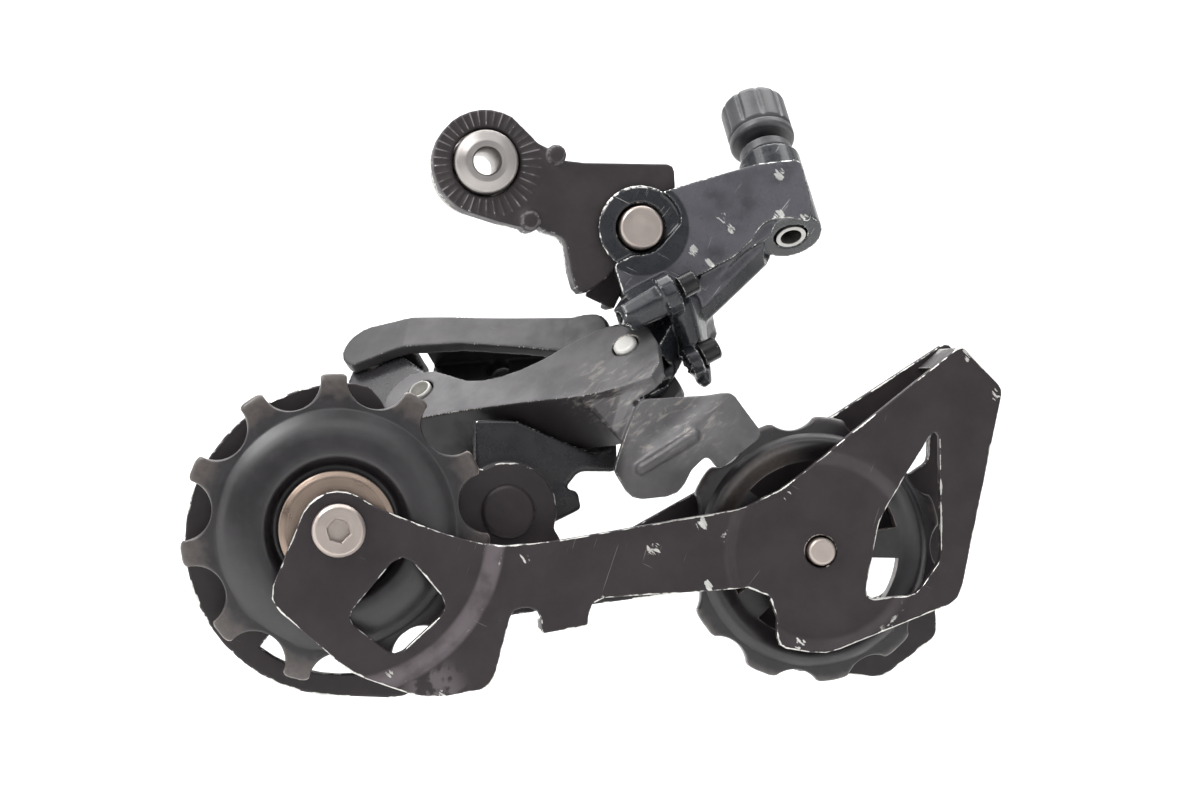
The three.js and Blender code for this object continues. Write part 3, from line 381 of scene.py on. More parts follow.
def plate(name, loops, front, back, bevel, lift=None, dots=(), spacing=1.6):
    """A sheet-metal plate from (x, z) outlines, with rounded, slightly uneven edges.

    lift(points) moves the plate along Y and dots are further points that its faces have to meet.
    """
    rims = [refined(loop) for loop in loops]
    width = [bevel * (1 + 0.45 * wavering(rim, 2.3, front)) for rim in rims]
    steps = [(1, 0), (0.45, 0.14), (0.14, 0.45), (0, 1)]
    inner = [inset(rim, 1.3 * w) for rim, w in zip(rims, width)]
    low = np.concatenate(inner).min(axis=0)
    high = np.concatenate(inner).max(axis=0)
    grid = np.stack(np.meshgrid(*(np.arange(a, b, spacing) for a, b in zip(low, high))), axis=-1)
    grid = grid.reshape(-1, 2)
    if len(dots):
        dots = np.asarray(dots)
        grid = grid[distance_to(grid, [dots]) > 0.4 * spacing]
        grid = np.concatenate([grid, dots])
    grid = grid[inside(grid, inner)]
    grid = grid[distance_to(grid, inner) > 0.35]
    sizes = [len(rim) for rim in rims]
    starts = np.cumsum([0, *sizes])
    total = int(starts[-1])
    flat = np.concatenate([*inner, grid])
    borders = [
        (int(s + i), int(s + (i + 1) % n)) for s, n in zip(starts, sizes) for i in range(n)
    ]
    out, _, triangles, origin, _, _ = geometry.delaunay_2d_cdt(
        [Vector(p) for p in flat], borders, [], 0, 1e-7
    )
    source = np.array([ids[0] if ids else -1 for ids in origin])
    corners = np.array([list(t) for t in triangles if len(t) == 3])
    spots = np.array([tuple(p) for p in out])
    keep = inside(spots[corners].mean(axis=1), inner)
    keep &= (source[corners] >= 0).all(axis=1)
    corners = source[corners[keep]]

    def level(points, side, depth):
        """Vertices at a depth in from the front (side 0) or back (side 1) face."""
        raised = lift(points) if lift is not None else np.zeros(len(points))
        y = front + depth if side == 0 else back - depth
        return np.stack([points[:, 0], y + raised, points[:, 1]], axis=1)

    def ring(share, depth_share, side):
        """All rims once round, part of the way round the bevel."""
        moved = [inset(rim, w * share) for rim, w in zip(rims, width)]
        depth = np.concatenate([w * depth_share for w in width])
        return level(np.concatenate(moved), side, depth)

    rings = [ring(*at, 0) for at in steps]
    rings += [ring(*at, 1) for at in reversed(steps)]
    verts = np.concatenate([level(flat, 0, 0), *rings, level(flat, 1, 0)])
    n_flat = len(flat)
    ring_starts = [0, *(n_flat + total * i for i in range(len(rings) + 1))]
    faces = [tuple(int(v) for v in t) for t in corners]
    behind = ring_starts[-1]
    faces += [tuple(int(v) + behind for v in reversed(t)) for t in corners]
    for upper, lower in zip(ring_starts, ring_starts[1:]):
        for a, b in borders:
            faces.append((upper + a, lower + a, lower + b, upper + b))
    piece = new_piece(name, verts, faces)
    make_outward(piece)
    return piece


def make_outward(piece):
    mesh = bmesh.new()
    mesh.from_mesh(piece.data)
    bmesh.ops.recalc_face_normals(mesh, faces=mesh.faces)
    if mesh.calc_volume(signed=True) < 0:
        bmesh.ops.reverse_faces(mesh, faces=mesh.faces)
    mesh.to_mesh(piece.data)
    mesh.free()


def softened(profile, closed, radius):
    """A turned profile with rounded corners, and a point beside each that keeps the flats flat."""
    points = list(profile)
    count = len(points)
    result = []
    for i, point in enumerate(points):
        if not closed and i in (0, count - 1):
            result.append(point)
            continue
        before, after = points[i - 1] - point, points[(i + 1) % count] - point
        reach = min(radius, 0.4 * np.linalg.norm(before), 0.4 * np.linalg.norm(after))
        start = point + before / np.linalg.norm(before) * reach
        end = point + after / np.linalg.norm(after) * reach
        result.append(start + 0.15 * (start - point))
        for t in (0, 0.33, 0.67, 1):
            result.append((1 - t) ** 2 * start + 2 * t * (1 - t) * point + t**2 * end)
        result.append(end + 0.15 * (end - point))
    return np.array(result)


def straightened(profile, closed):
    """Leaves out the points of a profile that lie on a straight line or on each other."""
    kept = [profile[0]]
    for point in profile[1:]:
        if np.linalg.norm(point - kept[-1]) > 0.02:
            kept.append(point)
    if closed and np.linalg.norm(kept[0] - kept[-1]) < 0.02:
        kept.pop()
    profile = np.array(kept)
    bend = np.abs(turn_angles(profile)) > math.radians(4)
    if not closed:
        bend[[0, -1]] = True
    return profile[bend]


def lathe(name, profile, closed, axis, centre, segments):
    """A turned piece. An open profile starts and ends on the axis."""
    aside = axis.orthogonal().normalized()
    across = axis.cross(aside)
    turns = np.arange(segments) * 2 * math.pi / segments
    rays = np.outer(np.cos(turns), aside) + np.outer(np.sin(turns), across)
    verts = []
    rows = []
    for radius, height in profile:
        middle = np.array(centre) / MM + height * np.array(axis)
        if radius < 1e-4:
            rows.append([len(verts)] * segments)
            verts.append(middle)
        else:
            rows.append(list(range(len(verts), len(verts) + segments)))
            verts.extend(middle + radius * rays)
    faces = []
    pairs = list(zip(rows, rows[1:])) + ([(rows[-1], rows[0])] if closed else [])
    for first, second in pairs:
        for i in range(segments):
            j = (i + 1) % segments
            corners = [first[i], first[j], second[j], second[i]]
            faces.append(tuple(dict.fromkeys(corners)))
    piece = new_piece(name, verts, [face for face in faces if len(face) > 2])
    make_outward(piece)
    return piece


def relathe(node, axis, segments, rounding, fill=0.0):
    """Turns a CAD node's own half section again, finer and with rounded corners.

    Whatever lies within the radius fill, such as a socket, is closed up to the axis.
    """
    centre = box_centre(node)
    profile = turned_profile(node, axis, centre)
    if fill:
        profile[profile[:, 0] < fill, 0] = 0
    open_ended = profile[:, 0].min() < 1e-3
    if open_ended:
        start = int(np.argmin(profile[:, 0]))
        if np.linalg.norm(profile[0] - profile[-1]) < 1e-3:
            profile = np.roll(profile[:-1], -start, axis=0)
        on_axis = profile[:, 0] < 1e-3
        body = profile[~on_axis]
        ends = profile[on_axis]
        first, last = (ends[np.argmin(np.abs(ends[:, 1] - body[i, 1]))] for i in (0, -1))
        profile = np.concatenate([[first], body, [last]])
        profile[[0, -1], 0] = 0
    profile = straightened(profile, not open_ended)
    profile = softened(profile, not open_ended, rounding)
    piece = lathe(node + "_turned", profile, not open_ended, axis, centre, segments)
    store_radius(piece, axis, centre)
    return piece


def store_radius(piece, axis, centre):
    """Stores each vertex's distance from an axis in millimetres, for turning marks."""
    at = values_of(piece.data.vertices, "co") - np.array(centre)
    along = np.outer(at @ np.array(axis), np.array(axis))
    store(piece, "radius", lengths(at - along) / MM)


def hex_socket(piece, axis, centre, across_flats, floor, mouth):
    """Cuts a hexagonal socket with a broken edge, from the height of its floor to that of its mouth."""
    radius = across_flats / math.sqrt(3)
    outward = math.copysign(1, mouth - floor)
    profile = [
        (0, floor), (radius, floor), (radius, mouth - 0.2 * outward),
        (radius + 0.5, mouth + 0.3 * outward), (0, mouth + 0.3 * outward),
    ]
    combine(piece, lathe("hex_tool", profile, False, axis, centre, 6), "DIFFERENCE")


def cast(node, voxel, rounds):
    """A finely meshed copy of a CAD node with softened edges, as a forging or casting has."""
    piece = copied(node, node + "_cast")
    remesh = piece.modifiers.new("remesh", "REMESH")
    remesh.mode = "VOXEL"
    remesh.voxel_size = voxel * MM
    smooth = piece.modifiers.new("smooth", "SMOOTH")
    smooth.factor = 0.5
    smooth.iterations = rounds
    apply_modifiers(piece)
    return piece


def subdivided(node):
    """A CAD node rounded by subdivision, for springs swept from a coarse section."""
    piece = copied(node, node + "_smooth")
    modifier = piece.modifiers.new("subdivision", "SUBSURF")
    modifier.levels = 2
    modifier.render_levels = 2
    apply_modifiers(piece)
    return piece


# ---- material nodes

SCRATCH_LENGTH = 9
SCRATCH_WIDTH = 0.16


class Finish:
    """A material built from nodes, with short calls for what the finishes below share."""

    def __init__(self, name):
        self.material = bpy.data.materials.new(name)
        self.material.use_nodes = True
        self.tree = self.material.node_tree
        self.tree.nodes.clear()
        coordinates = self.tree.nodes.new("ShaderNodeTexCoord").outputs
        inputs = {0: coordinates["Object"], "Scale": 1 / MM}
        self.place = self.node("ShaderNodeVectorMath", inputs, operation="SCALE").outputs["Vector"]
        self.normal = coordinates["Normal"]

    def node(self, kind, inputs, **settings):
        made = self.tree.nodes.new(kind)
        for key, value in settings.items():
            setattr(made, key, value)
        for key, value in inputs.items():
            if isinstance(value, bpy.types.NodeSocket):
                self.tree.links.new(value, made.inputs[key])
            else:
                made.inputs[key].default_value = value
        return made

    def math(self, operation, *values):
        return self.node("ShaderNodeMath", dict(enumerate(values)), operation=operation).outputs[0]

    def vector(self, operation, *values):
        inputs = dict(enumerate(values))
        return self.node("ShaderNodeVectorMath", inputs, operation=operation).outputs

    def in_turn(self, operation, values):
        """The operation on the first two values, then on its result and the next one, and so on."""
        result = values[0]
        for value in values[1:]:
            result = self.math(operation, result, value)
        return result

    def times(self, *values):
        return self.in_turn("MULTIPLY", values)

    def plus(self, *values):
        return self.in_turn("ADD", values)

    def minus(self, *values):
        return self.in_turn("SUBTRACT", values)

    def any_of(self, *masks):
        return self.in_turn("MAXIMUM", masks)

    def stretch(self, size, turn=(0, 0, 0), start=(0, 0, 0)):
        """Coordinates measured in steps of size millimetres along turned axes."""
        inputs = {"Vector": self.place, "Location": start, "Rotation": turn, "Scale": size}
        return self.node("ShaderNodeMapping", inputs, vector_type="TEXTURE").outputs[0]

    def shifted(self, seed):
        return self.stretch((1, 1, 1), start=(17 * seed, 5 * seed, 11 * seed))

    def noise(self, size, detail=4, rough=0.55, place=None, distortion=0):
        """Noise from 0 to 1 whose patches are about size millimetres across."""
        inputs = {
            "Vector": self.place if place is None else place,
            "Scale": 1 / size,
            "Detail": detail,
            "Roughness": rough,
            "Distortion": distortion,
        }
        return self.node("ShaderNodeTexNoise", inputs).outputs["Fac"]

    def attribute(self, name):
        return self.node("ShaderNodeAttribute", {}, attribute_name=name).outputs["Fac"]

    def fade(self, value, low, high, start=0.0, end=1.0):
        """Smoothly from start where value is low to end where it is high."""
        inputs = {"Value": value, "From Min": low, "From Max": high, "To Min": start, "To Max": end}
        return self.node("ShaderNodeMapRange", inputs, interpolation_type="SMOOTHSTEP").outputs[0]

    def near(self, point, radius, edge):
        """1 within a radius of a point in millimetres, fading to 0 beyond it."""
        distance = self.vector("DISTANCE", self.place, point)["Value"]
        return self.fade(distance, radius, radius + edge, 1, 0)

    def mix(self, share, a, b):
        made = self.node("ShaderNodeMix", {"Factor": share}, data_type="RGBA")
        for key, value in ((6, a), (7, b)):
            if isinstance(value, bpy.types.NodeSocket):
                self.tree.links.new(value, made.inputs[key])
            else:
                made.inputs[key].default_value = (*value, 1)
        return made.outputs[2]

    def blend(self, share, a, b):
        return self.node("ShaderNodeMix", {"Factor": share, 2: a, 3: b}, data_type="FLOAT").outputs[0]

    def scratches(self, seed, amount):
        """Thin scratches in three directions over the faces that look along Y."""
        marks = []
        for i, angle in enumerate((0.45, -0.9, 1.9)):
            place = self.stretch((SCRATCH_LENGTH, 3, SCRATCH_WIDTH), (0, angle, 0), (seed, 0, i))
            streaks = self.noise(1, 2, 0.4, place)
            patches = self.noise(7 + 3 * i, 2, 0.5, self.shifted(seed + i))
            limit = self.fade(patches, 0.45, 0.7, 0.86, 0.74 - 0.05 * amount)
            over = self.minus(streaks, limit)
            marks.append(self.fade(over, 0.0, 0.035))
        return self.any_of(*marks)

    def worn(self, amount, size, seed, limit=0.15):
        """Where the coating has worn off the edges, in broken stretches and chips.

        Only what stands out more than limit can be worn.
        """
        edge = self.attribute("edge")
        fine = self.noise(size, 4, 0.6, self.shifted(seed))
        broad = self.noise(11, 3, 0.5, self.shifted(seed + 3))
        uneven = self.times(self.minus(fine, 0.5), 1.7)
        level = self.plus(edge, uneven, self.times(self.minus(broad, 0.5), 1.5))
        mask = self.fade(level, 1.0 - amount, 1.12 - amount)
        return self.times(mask, self.fade(edge, limit, limit + 0.2))

    def chips(self, places, radius, size, seed=0.0):
        """Ragged chips, drawn out on a slant, round each of the places, given in millimetres."""
        where = self.any_of(*(self.near(place, radius, 1.2) for place in places))
        place = self.stretch((2.9 * size, size, 0.75 * size), (0, 0.8, 0), (seed, 0, seed))
        grain = self.noise(1, 4, 0.6, place, 0.6)
        level = self.plus(grain, self.times(where, 0.3))
        return self.fade(level, 0.8, 0.83)

    def ring(self, centre, radius, half_width, edge):
        """1 on a ring about an axis along Y; the centre is given as (x, z)."""
        flat = self.vector("MULTIPLY", self.place, (1, 0, 1))[0]
        distance = self.vector("DISTANCE", flat, (centre[0], 0, centre[1]))["Value"]
        off = self.math("ABSOLUTE", self.minus(distance, radius))
        return self.fade(off, half_width, half_width + edge, 1, 0)

    def split(self, vector):
        """The x, y and z of a vector."""
        return self.node("ShaderNodeSeparateXYZ", {0: vector}).outputs

    def facing_wheel(self, low=0.8, high=0.97):
        """1 on the faces that look towards the wheel."""
        return self.fade(self.times(self.split(self.normal)["Y"], -1), low, high)

    def bump(self, height, distance):
        """Bumps of a height in steps of distance millimetres."""
        inputs = {"Height": height, "Distance": distance * MM, "Strength": 1.0}
        return self.node("ShaderNodeBump", inputs).outputs["Normal"]

    def done(self, colour, roughness, metallic=0.0, normal=None, **plain):
        inputs = {"Base Color": colour, "Roughness": roughness, "Metallic": metallic}
        if normal is not None:
            inputs["Normal"] = normal
        shader = self.node("ShaderNodeBsdfPrincipled", inputs)
        for key, value in plain.items():
            shader.inputs[key.replace("_", " ")].default_value = value
        output = self.tree.nodes.new("ShaderNodeOutputMaterial")
        self.tree.links.new(shader.outputs[0], output.inputs["Surface"])
        return self.material


BRIGHT = (0.62, 0.61, 0.58)
CHIP = (0.72, 0.71, 0.68)
GRIME = (0.25, 0.2, 0.16)
OXIDE = (0.12, 0.08, 0.05)
BUMP = 0.05


def coated(
    name, dark, light, rough, wear, chip_size=0.8, scratch=0.4, grain=0.012, seed=0.0,
    limit=0.15, bare=BRIGHT, metallic=0.0, coat=0.0, extra=None, tint=None,
):
    """A coating over metal: cloudy colour, uneven gloss, scratches, and edges worn through.

    extra(finish) gives a further mask drawn as bare metal, and tint(finish) a mask and a colour to add.
    On some finishes these carry painted light: highlights on the cage plate and knuckle, a sheen on the
    knuckle's face and shade on the inner link's web.
    """
    f = Finish(name)
    cloud = f.noise(6, 5, 0.6, f.shifted(seed + 1))
    smudge = f.noise(2.4, 5, 0.62)
    speck = f.noise(0.16, 3, 0.6)
    colour = f.mix(f.fade(cloud, 0.3, 0.7), dark, light)
    if tint is not None:
        mask, shade = tint(f)
        colour = f.mix(mask, colour, shade)
    marks = f.scratches(seed, scratch)
    bare_mask = f.worn(wear, chip_size, seed, limit)
    if extra is not None:
        bare_mask = f.any_of(bare_mask, extra(f))
    stained = f.mix(f.fade(f.noise(1.3, 4), 0.35, 0.7), bare, shaded(bare, 0.72))
    colour = f.mix(f.times(marks, 0.55 * scratch), colour, bare)
    colour = f.mix(bare_mask, colour, stained)
    gloss = f.fade(smudge, 0.25, 0.75, rough[0], rough[1])
    gloss = f.blend(bare_mask, gloss, f.fade(smudge, 0.3, 0.7, 0.28, 0.46))
    metal = f.blend(bare_mask, metallic, 0.85)
    grains = f.times(speck, grain / BUMP)
    height = f.minus(grains, f.times(bare_mask, 0.55), f.times(marks, 0.25 * scratch))
    plain = {"Coat_Weight": coat, "Coat_Roughness": 0.14, "Specular_IOR_Level": 0.4}
    return f.done(colour, gloss, metal, f.bump(height, BUMP), **plain)


def shaded(colour, share):
    return tuple(share * c for c in colour)


def turned_metal(name, base, rough, marks=1.0, metallic=1.0):
    """Bare metal turned on a lathe: fine rings, fingerprints and a little grime."""
    f = Finish(name)
    rings, fine = (
        f.node("ShaderNodeTexNoise", inputs, noise_dimensions="1D").outputs["Fac"]
        for inputs in (
            {"W": f.attribute("radius"), "Scale": 9, "Detail": 3, "Roughness": 0.7},
            {"W": f.attribute("radius"), "Scale": 34, "Detail": 2},
        )
    )
    smudge = f.noise(2.6, 4, 0.55)
    grime = f.fade(f.noise(2.2, 5, 0.6), 0.55, 0.8)
    colour = f.mix(f.fade(rings, 0.3, 0.7), base, shaded(base, 0.8))
    colour = f.mix(f.times(grime, 0.12), colour, GRIME)
    gloss = f.fade(smudge, 0.3, 0.7, rough[0], rough[1])
    height = f.times(f.plus(rings, f.times(fine, 0.5)), marks)
    return f.done(colour, gloss, metallic, f.bump(height, 0.012))


def drawn_metal(name, base, rough):
    """Wire or small bare metal: lengthwise mottling and spots of oxide."""
    f = Finish(name)
    mottle = f.noise(0.7, 6, 0.65)
    spots = f.fade(f.noise(0.4, 4, 0.6), 0.6, 0.75)
    colour = f.mix(f.fade(mottle, 0.3, 0.7), base, shaded(base, 0.7))
    colour = f.mix(f.times(spots, 0.5), colour, OXIDE)
    gloss = f.fade(mottle, 0.3, 0.7, rough[0], rough[1])
    return f.done(colour, gloss, 1.0, f.bump(mottle, 0.02))


def moulded(name, dark, light, rough, rub_and_sheen_colour, rub_and_sheen_mask, pits=0.02, sheen=0.0):
    """Moulded resin or rubber: fine pits, dust in patches, and a rubbed tone where the mask says, which
    on the pulleys also paints a sheen.

    Its sharpest edges carry a thin pale line.
    """
    f = Finish(name)
    cloud = f.noise(5, 5, 0.6)
    pit = f.noise(0.22, 4, 0.65)
    dust = f.fade(f.noise(1.1, 6, 0.7), 0.5, 0.8)
    colour = f.mix(f.fade(cloud, 0.3, 0.7), dark, light)
    colour = f.mix(f.times(dust, 0.22), colour, shaded(light, 3.2))
    mask = rub_and_sheen_mask(f)
    # the rubbed tone also paints the tension pulley ring's sheen
    rubbed = f.fade(f.noise(0.8, 5, 0.7), 0.3, 0.7)
    rubbed = f.mix(rubbed, rub_and_sheen_colour, shaded(rub_and_sheen_colour, 0.62))
    colour = f.mix(mask, colour, rubbed)
    line = f.times(f.fade(f.attribute("edge"), 0.55, 0.8), f.fade(f.noise(2.5, 3), 0.4, 0.55), 0.6)
    colour = f.mix(line, colour, shaded(rub_and_sheen_colour, 4))
    gloss = f.blend(mask, f.fade(cloud, 0.3, 0.7, rough[0], rough[1]), rough[0] + 0.08)
    return f.done(colour, gloss, 0.0, f.bump(pit, pits), Coat_Weight=sheen, Coat_Roughness=0.34)


def edge_wear(amount):
    return lambda f: f.worn(amount, 0.7, 2.0)


# ---- finishes


def plate_chips(f):
    """Larger chips on the wheel-side cage plate, at its bent edges and on its bridge."""
    places = (
        (4.2, -60.4), (23.4, -59.2), (30.8, -55.6), (31.6, -65), (-8, -80.6), (16, -66.8),
        (44, -51.5), (72, -30), (46, -73.6), (60, -72), (-16, -77), (77, -36),
    )
    return f.chips([(x, -16.5, z) for x, z in places], 0.6, 0.9)


def cone_and_lip_highlights(f):
    """The cones round both pulleys and the plate's lowest lip are painted lighter than its flat:
    painted highlights where the light catches them.
    """
    faint = f.times(f.ring(TENSION, 14.2, 0.5, 0.8), 0.2)
    band = f.any_of(f.ring(GUIDE, 23.3, 1.0, 0.7), faint)
    band = f.times(band, f.fade(f.noise(4, 4), 0.3, 0.6, 0.4, 1))
    lip = f.times(f.near((-9.5, -16, -80), 2, 4), f.fade(f.noise(2.4, 4), 0.46, 0.56))
    return f.any_of(band, lip), (0.082, 0.068, 0.074)


# its tint paints highlights on the pulley cones and the plate's lowest lip
BLACK_SHEET = coated(
    "satin_black_sheet", (0.0125, 0.0082, 0.0095), (0.02, 0.0138, 0.0155), (0.38, 0.56), 0.52,
    chip_size=2.0, scratch=0.3, seed=0.3, extra=plate_chips, tint=cone_and_lip_highlights,
)
FAR_SHEET = coated(
    "satin_black_far_sheet", (0.0125, 0.009, 0.01), (0.02, 0.0145, 0.016), (0.38, 0.56), 0.42,
    chip_size=1.9, scratch=0.4, seed=1.7,
)
LINK_LOOK = {"rough": (0.48, 0.66), "wear": 0.02, "chip_size": 0.7, "scratch": 0.2, "grain": 0.02}
LINK_BLACK = coated(
    "matt_black_link", (0.016, 0.011, 0.012), (0.025, 0.018, 0.019), seed=0.9, **LINK_LOOK
)

SERRATIONS = 38
SERRATION_HEIGHT = 0.22
RIVETS = (np.array((11, 1.3)), np.array((6.9, -9)))
RIVET_RADIUS = 1.65
RIVET_HEIGHT = 0.85


def serration_crests(f):
    """Thin rubbed crests of the radial serrations, and the rims of the two rivets."""
    x, _, z = f.split(f.place)
    angle = f.math("ARCTAN2", f.minus(z, HANGER[1]), f.minus(x, HANGER[0]))
    turns = f.plus(f.times(angle, SERRATIONS / (2 * math.pi)), SERRATIONS)
    off_crest = f.math("ABSOLUTE", f.minus(f.math("FRACT", turns), 0.5))
    broken = f.fade(f.noise(3.4, 3), 0.42, 0.62, 0.12, 1)
    crest = f.times(f.fade(off_crest, 0.05, 0.13, 1, 0), f.ring(HANGER, 7.2, 1.2, 0.5), broken)
    rims = [f.ring(rivet, 1.35, 0.12, 0.3) for rivet in RIVETS]
    rim = f.times(f.any_of(*rims), f.fade(f.noise(1.1, 3), 0.42, 0.6, 0.1, 0.8))
    return f.times(f.any_of(crest, rim), f.facing_wheel(0.2, 0.6)), (0.15, 0.135, 0.14)


HANGER_BLACK = coated(
    "matt_black_hanger", (0.0145, 0.0105, 0.0115), (0.0235, 0.0175, 0.0185), seed=0.4,
    tint=serration_crests, **LINK_LOOK,
)


def knuckle_chips_and_eye_highlight(f):
    """Smears on the limit screw block, chips round the cable mouth, and a painted highlight on the
    upper-left arc of the eye's rim, drawn as bare metal.
    """
    places = (
        (36.9, -2, -8.5), (38.4, -2, -10), (32.4, -2, -13.6), (35.2, -2, -15.3), (46.1, -2, -1.3),
        (46.1, -2, -7.8), (27.2, -6.5, -18), (20.8, -5.5, -21.4), (50, -1.5, -8.2), (41, -2, -13.4),
    )
    # painted highlight: the eye's rim is drawn bright only on its upper-left arc, where light catches
    # it
    eye = f.times(
        f.ring(EYE, 6.5, 0.12, 0.22), f.near((EYE[0] - 2.6, -2, EYE[1] + 5.8), 3.2, 2.5),
        f.fade(f.noise(0.9, 3), 0.4, 0.5), f.facing_wheel(0.2, 0.5),
    )
    return f.any_of(f.chips(places, 0.5, 0.75, seed=0.35), eye)


def face_sheen(f):
    """The broad faces towards the wheel are painted a lighter bluish grey than the rest: a painted
    sheen.
    """
    cloud = f.fade(f.noise(5, 4), 0.25, 0.6, 0.45, 1)
    beyond_eye = f.minus(1, f.ring(EYE, 0, 7.3, 0.4))
    in_front = f.fade(f.split(f.place)["Y"], -4.2, -3)
    return f.times(beyond_eye, in_front, f.facing_wheel(), cloud), (0.074, 0.073, 0.084)


# its tint paints a sheen on the faces towards the wheel, and extra a highlight on the eye's rim
GLOSS_BLACK = coated(
    "gloss_black_forging", (0.0095, 0.0105, 0.013), (0.017, 0.0185, 0.0225), (0.2, 0.38), 0.36,
    chip_size=1.1, scratch=0.8, grain=0.01, seed=2.6, limit=0.32, bare=CHIP, coat=0.25,
    extra=knuckle_chips_and_eye_highlight, tint=face_sheen,
)
LOWER_BLACK = coated(
    "gloss_black_lower_forging", (0.0105, 0.0095, 0.011), (0.019, 0.0175, 0.02), (0.2, 0.38), 0.02,
    chip_size=0.9, scratch=0.4, grain=0.01, seed=4.1, limit=0.3, bare=CHIP, coat=0.25,
)


def scuffs(f):
    """Warm scrapes along the wheel-side link's lower edge and over its skid."""
    streak = f.noise(1, 4, 0.62, f.stretch((2.6, 2, 0.8), (0, -0.6, 0)), 0.5)
    patch = f.any_of(
        f.near((2, -16, -38), 4, 7), f.near((17, -12, -34), 4, 6), f.near((29, -16, -39), 3, 6),
        f.near((23, -16, -41), 3, 4), f.near((12, -12, -30), 3, 6),
    )
    return f.times(f.fade(streak, 0.5, 0.68, 0, 0.42), patch)


def web_shade_and_dark_tip(f):
    """The link's web under its flange is painted nearly black, a painted shade; its skid darkens
    towards the tip.
    """
    x, _, z = f.split(f.place)
    ragged = f.plus(z, f.times(f.noise(3, 4), 5.0))
    tip = f.times(f.fade(ragged, -39, -46), 0.45)
    # painted shade: faces across the pin axis, under the flange, are drawn nearly black
    towards_pins = f.vector("DOT_PRODUCT", f.normal, joint_axis("link_fold"))["Value"]
    web = f.fade(f.math("ABSOLUTE", towards_pins), 0.7, 0.85, 1, 0)
    web = f.times(web, f.fade(x, 17.5, 20.5, 1, 0))
    return f.any_of(tip, web), (0.016, 0.0135, 0.015)


# its tint paints shade on the web under the flange
INNER_GREY = coated(
    "satin_grey_inner_link", (0.076, 0.073, 0.0755), (0.116, 0.112, 0.1145), (0.36, 0.52), 0.25,
    chip_size=0.8, scratch=0.35, grain=0.016, seed=5.3, limit=0.3, bare=(0.36, 0.33, 0.3),
    metallic=0.3, extra=scuffs, tint=web_shade_and_dark_tip,
)
# painted shade: the outer link takes the inner link's satin grey at about half its brightness
OUTER_GREY_SHADED = coated(
    "shaded_satin_grey_outer_link", (0.037, 0.035, 0.0365), (0.053, 0.05, 0.052), (0.38, 0.52), 0.2,
    chip_size=0.7, scratch=0.3, grain=0.014, seed=6.2, limit=0.3, bare=(0.4, 0.37, 0.34),
    metallic=0.3,
)
SCREW_BLACK = coated(
    "black_oxide_screws", (0.009, 0.009, 0.01), (0.018, 0.018, 0.019), (0.22, 0.4), 0.3,
    chip_size=0.5, scratch=0.2, grain=0.004, seed=3.3, limit=0.3, metallic=0.3,
)
BRIGHT_STEEL = turned_metal("bright_turned_steel", (0.4, 0.375, 0.36), (0.34, 0.48))
WARM_STEEL = turned_metal("warm_turned_steel", (0.47, 0.41, 0.375), (0.34, 0.48))
DULL_STEEL = turned_metal("dull_turned_steel", (0.48, 0.47, 0.45), (0.32, 0.5))
PIN_STEEL = turned_metal("peened_pin_steel", (0.6, 0.59, 0.56), (0.5, 0.66), 0.5, 0.6)
NICKEL = turned_metal("warm_nickel", (0.31, 0.24, 0.195), (0.26, 0.42))
SPRING_WIRE = drawn_metal("spring_wire", (0.36, 0.36, 0.37), (0.28, 0.45))
BRONZE = drawn_metal("sintered_bronze", (0.45, 0.3, 0.14), (0.35, 0.55))
RUBBER = moulded(
    "seal_rubber", (0.011, 0.011, 0.011), (0.017, 0.017, 0.017), (0.72, 0.9),
    (0.04, 0.04, 0.04), edge_wear(0.3),
)
KNOB_RESIN = moulded(
    "knob_resin", (0.034, 0.034, 0.037), (0.054, 0.053, 0.058), (0.36, 0.5),
    (0.12, 0.12, 0.125), edge_wear(0.45), sheen=0.2,
)


def worn_tips_and_ring_sheen(f):
    """Tips of the teeth rubbed by the chain, and a painted sheen on the upper-left of the tension
    pulley's ring.
    """
    ragged = f.minus(f.noise(1.6, 5, 0.6), 0.5)
    ragged = f.plus(f.attribute("radius"), f.times(ragged, 5.0))
    tips = f.times(f.fade(ragged, 19.0, 21.2), 0.8)
    # painted sheen: the ring is drawn lighter only on its upper-left side
    upper_left = f.near((TENSION[0] - 9, -11, TENSION[1] + 11), 4, 6)
    ring = f.times(f.ring(TENSION, 15.2, 1.3, 0.8), upper_left, 0.8)
    return f.any_of(tips, ring)


# its lighter mask holds the worn teeth and a painted sheen on the tension pulley's ring
PULLEY_RESIN = moulded(
    "pulley_resin", (0.009, 0.0075, 0.0085), (0.016, 0.0135, 0.0155), (0.32, 0.42),
    (0.08, 0.066, 0.06), worn_tips_and_ring_sheen, 0.01, sheen=0.2,
)

# ---- hanger link, its bolt and the upper axle


def rays(angles):
    return np.stack([np.cos(angles), np.sin(angles)], axis=1)


def ring_points(centre, radii, count):
    directions = rays(np.arange(count) * 2 * math.pi / count)
    return np.concatenate([centre + radius * directions for radius in radii])


def hanger_lift(points):
    """Radial serrations round the bolt and two rivet heads, standing out towards the wheel."""
    away = points - HANGER
    radius = lengths(away)
    turns = np.arctan2(away[:, 1], away[:, 0]) * SERRATIONS / (2 * math.pi)
    off_crest = np.abs(turns % 1 - 0.5) * 2
    reach = np.clip((radius - 5.5) / 0.4, 0, 1) * np.clip((8.4 - radius) / 0.4, 0, 1)
    rise = -SERRATION_HEIGHT * (1 - off_crest) * reach
    for rivet in RIVETS:
        share = np.clip(lengths(points - rivet) / RIVET_RADIUS, 0, 1)
        rise -= RIVET_HEIGHT * (1 - share**4) ** 0.7
    return rise


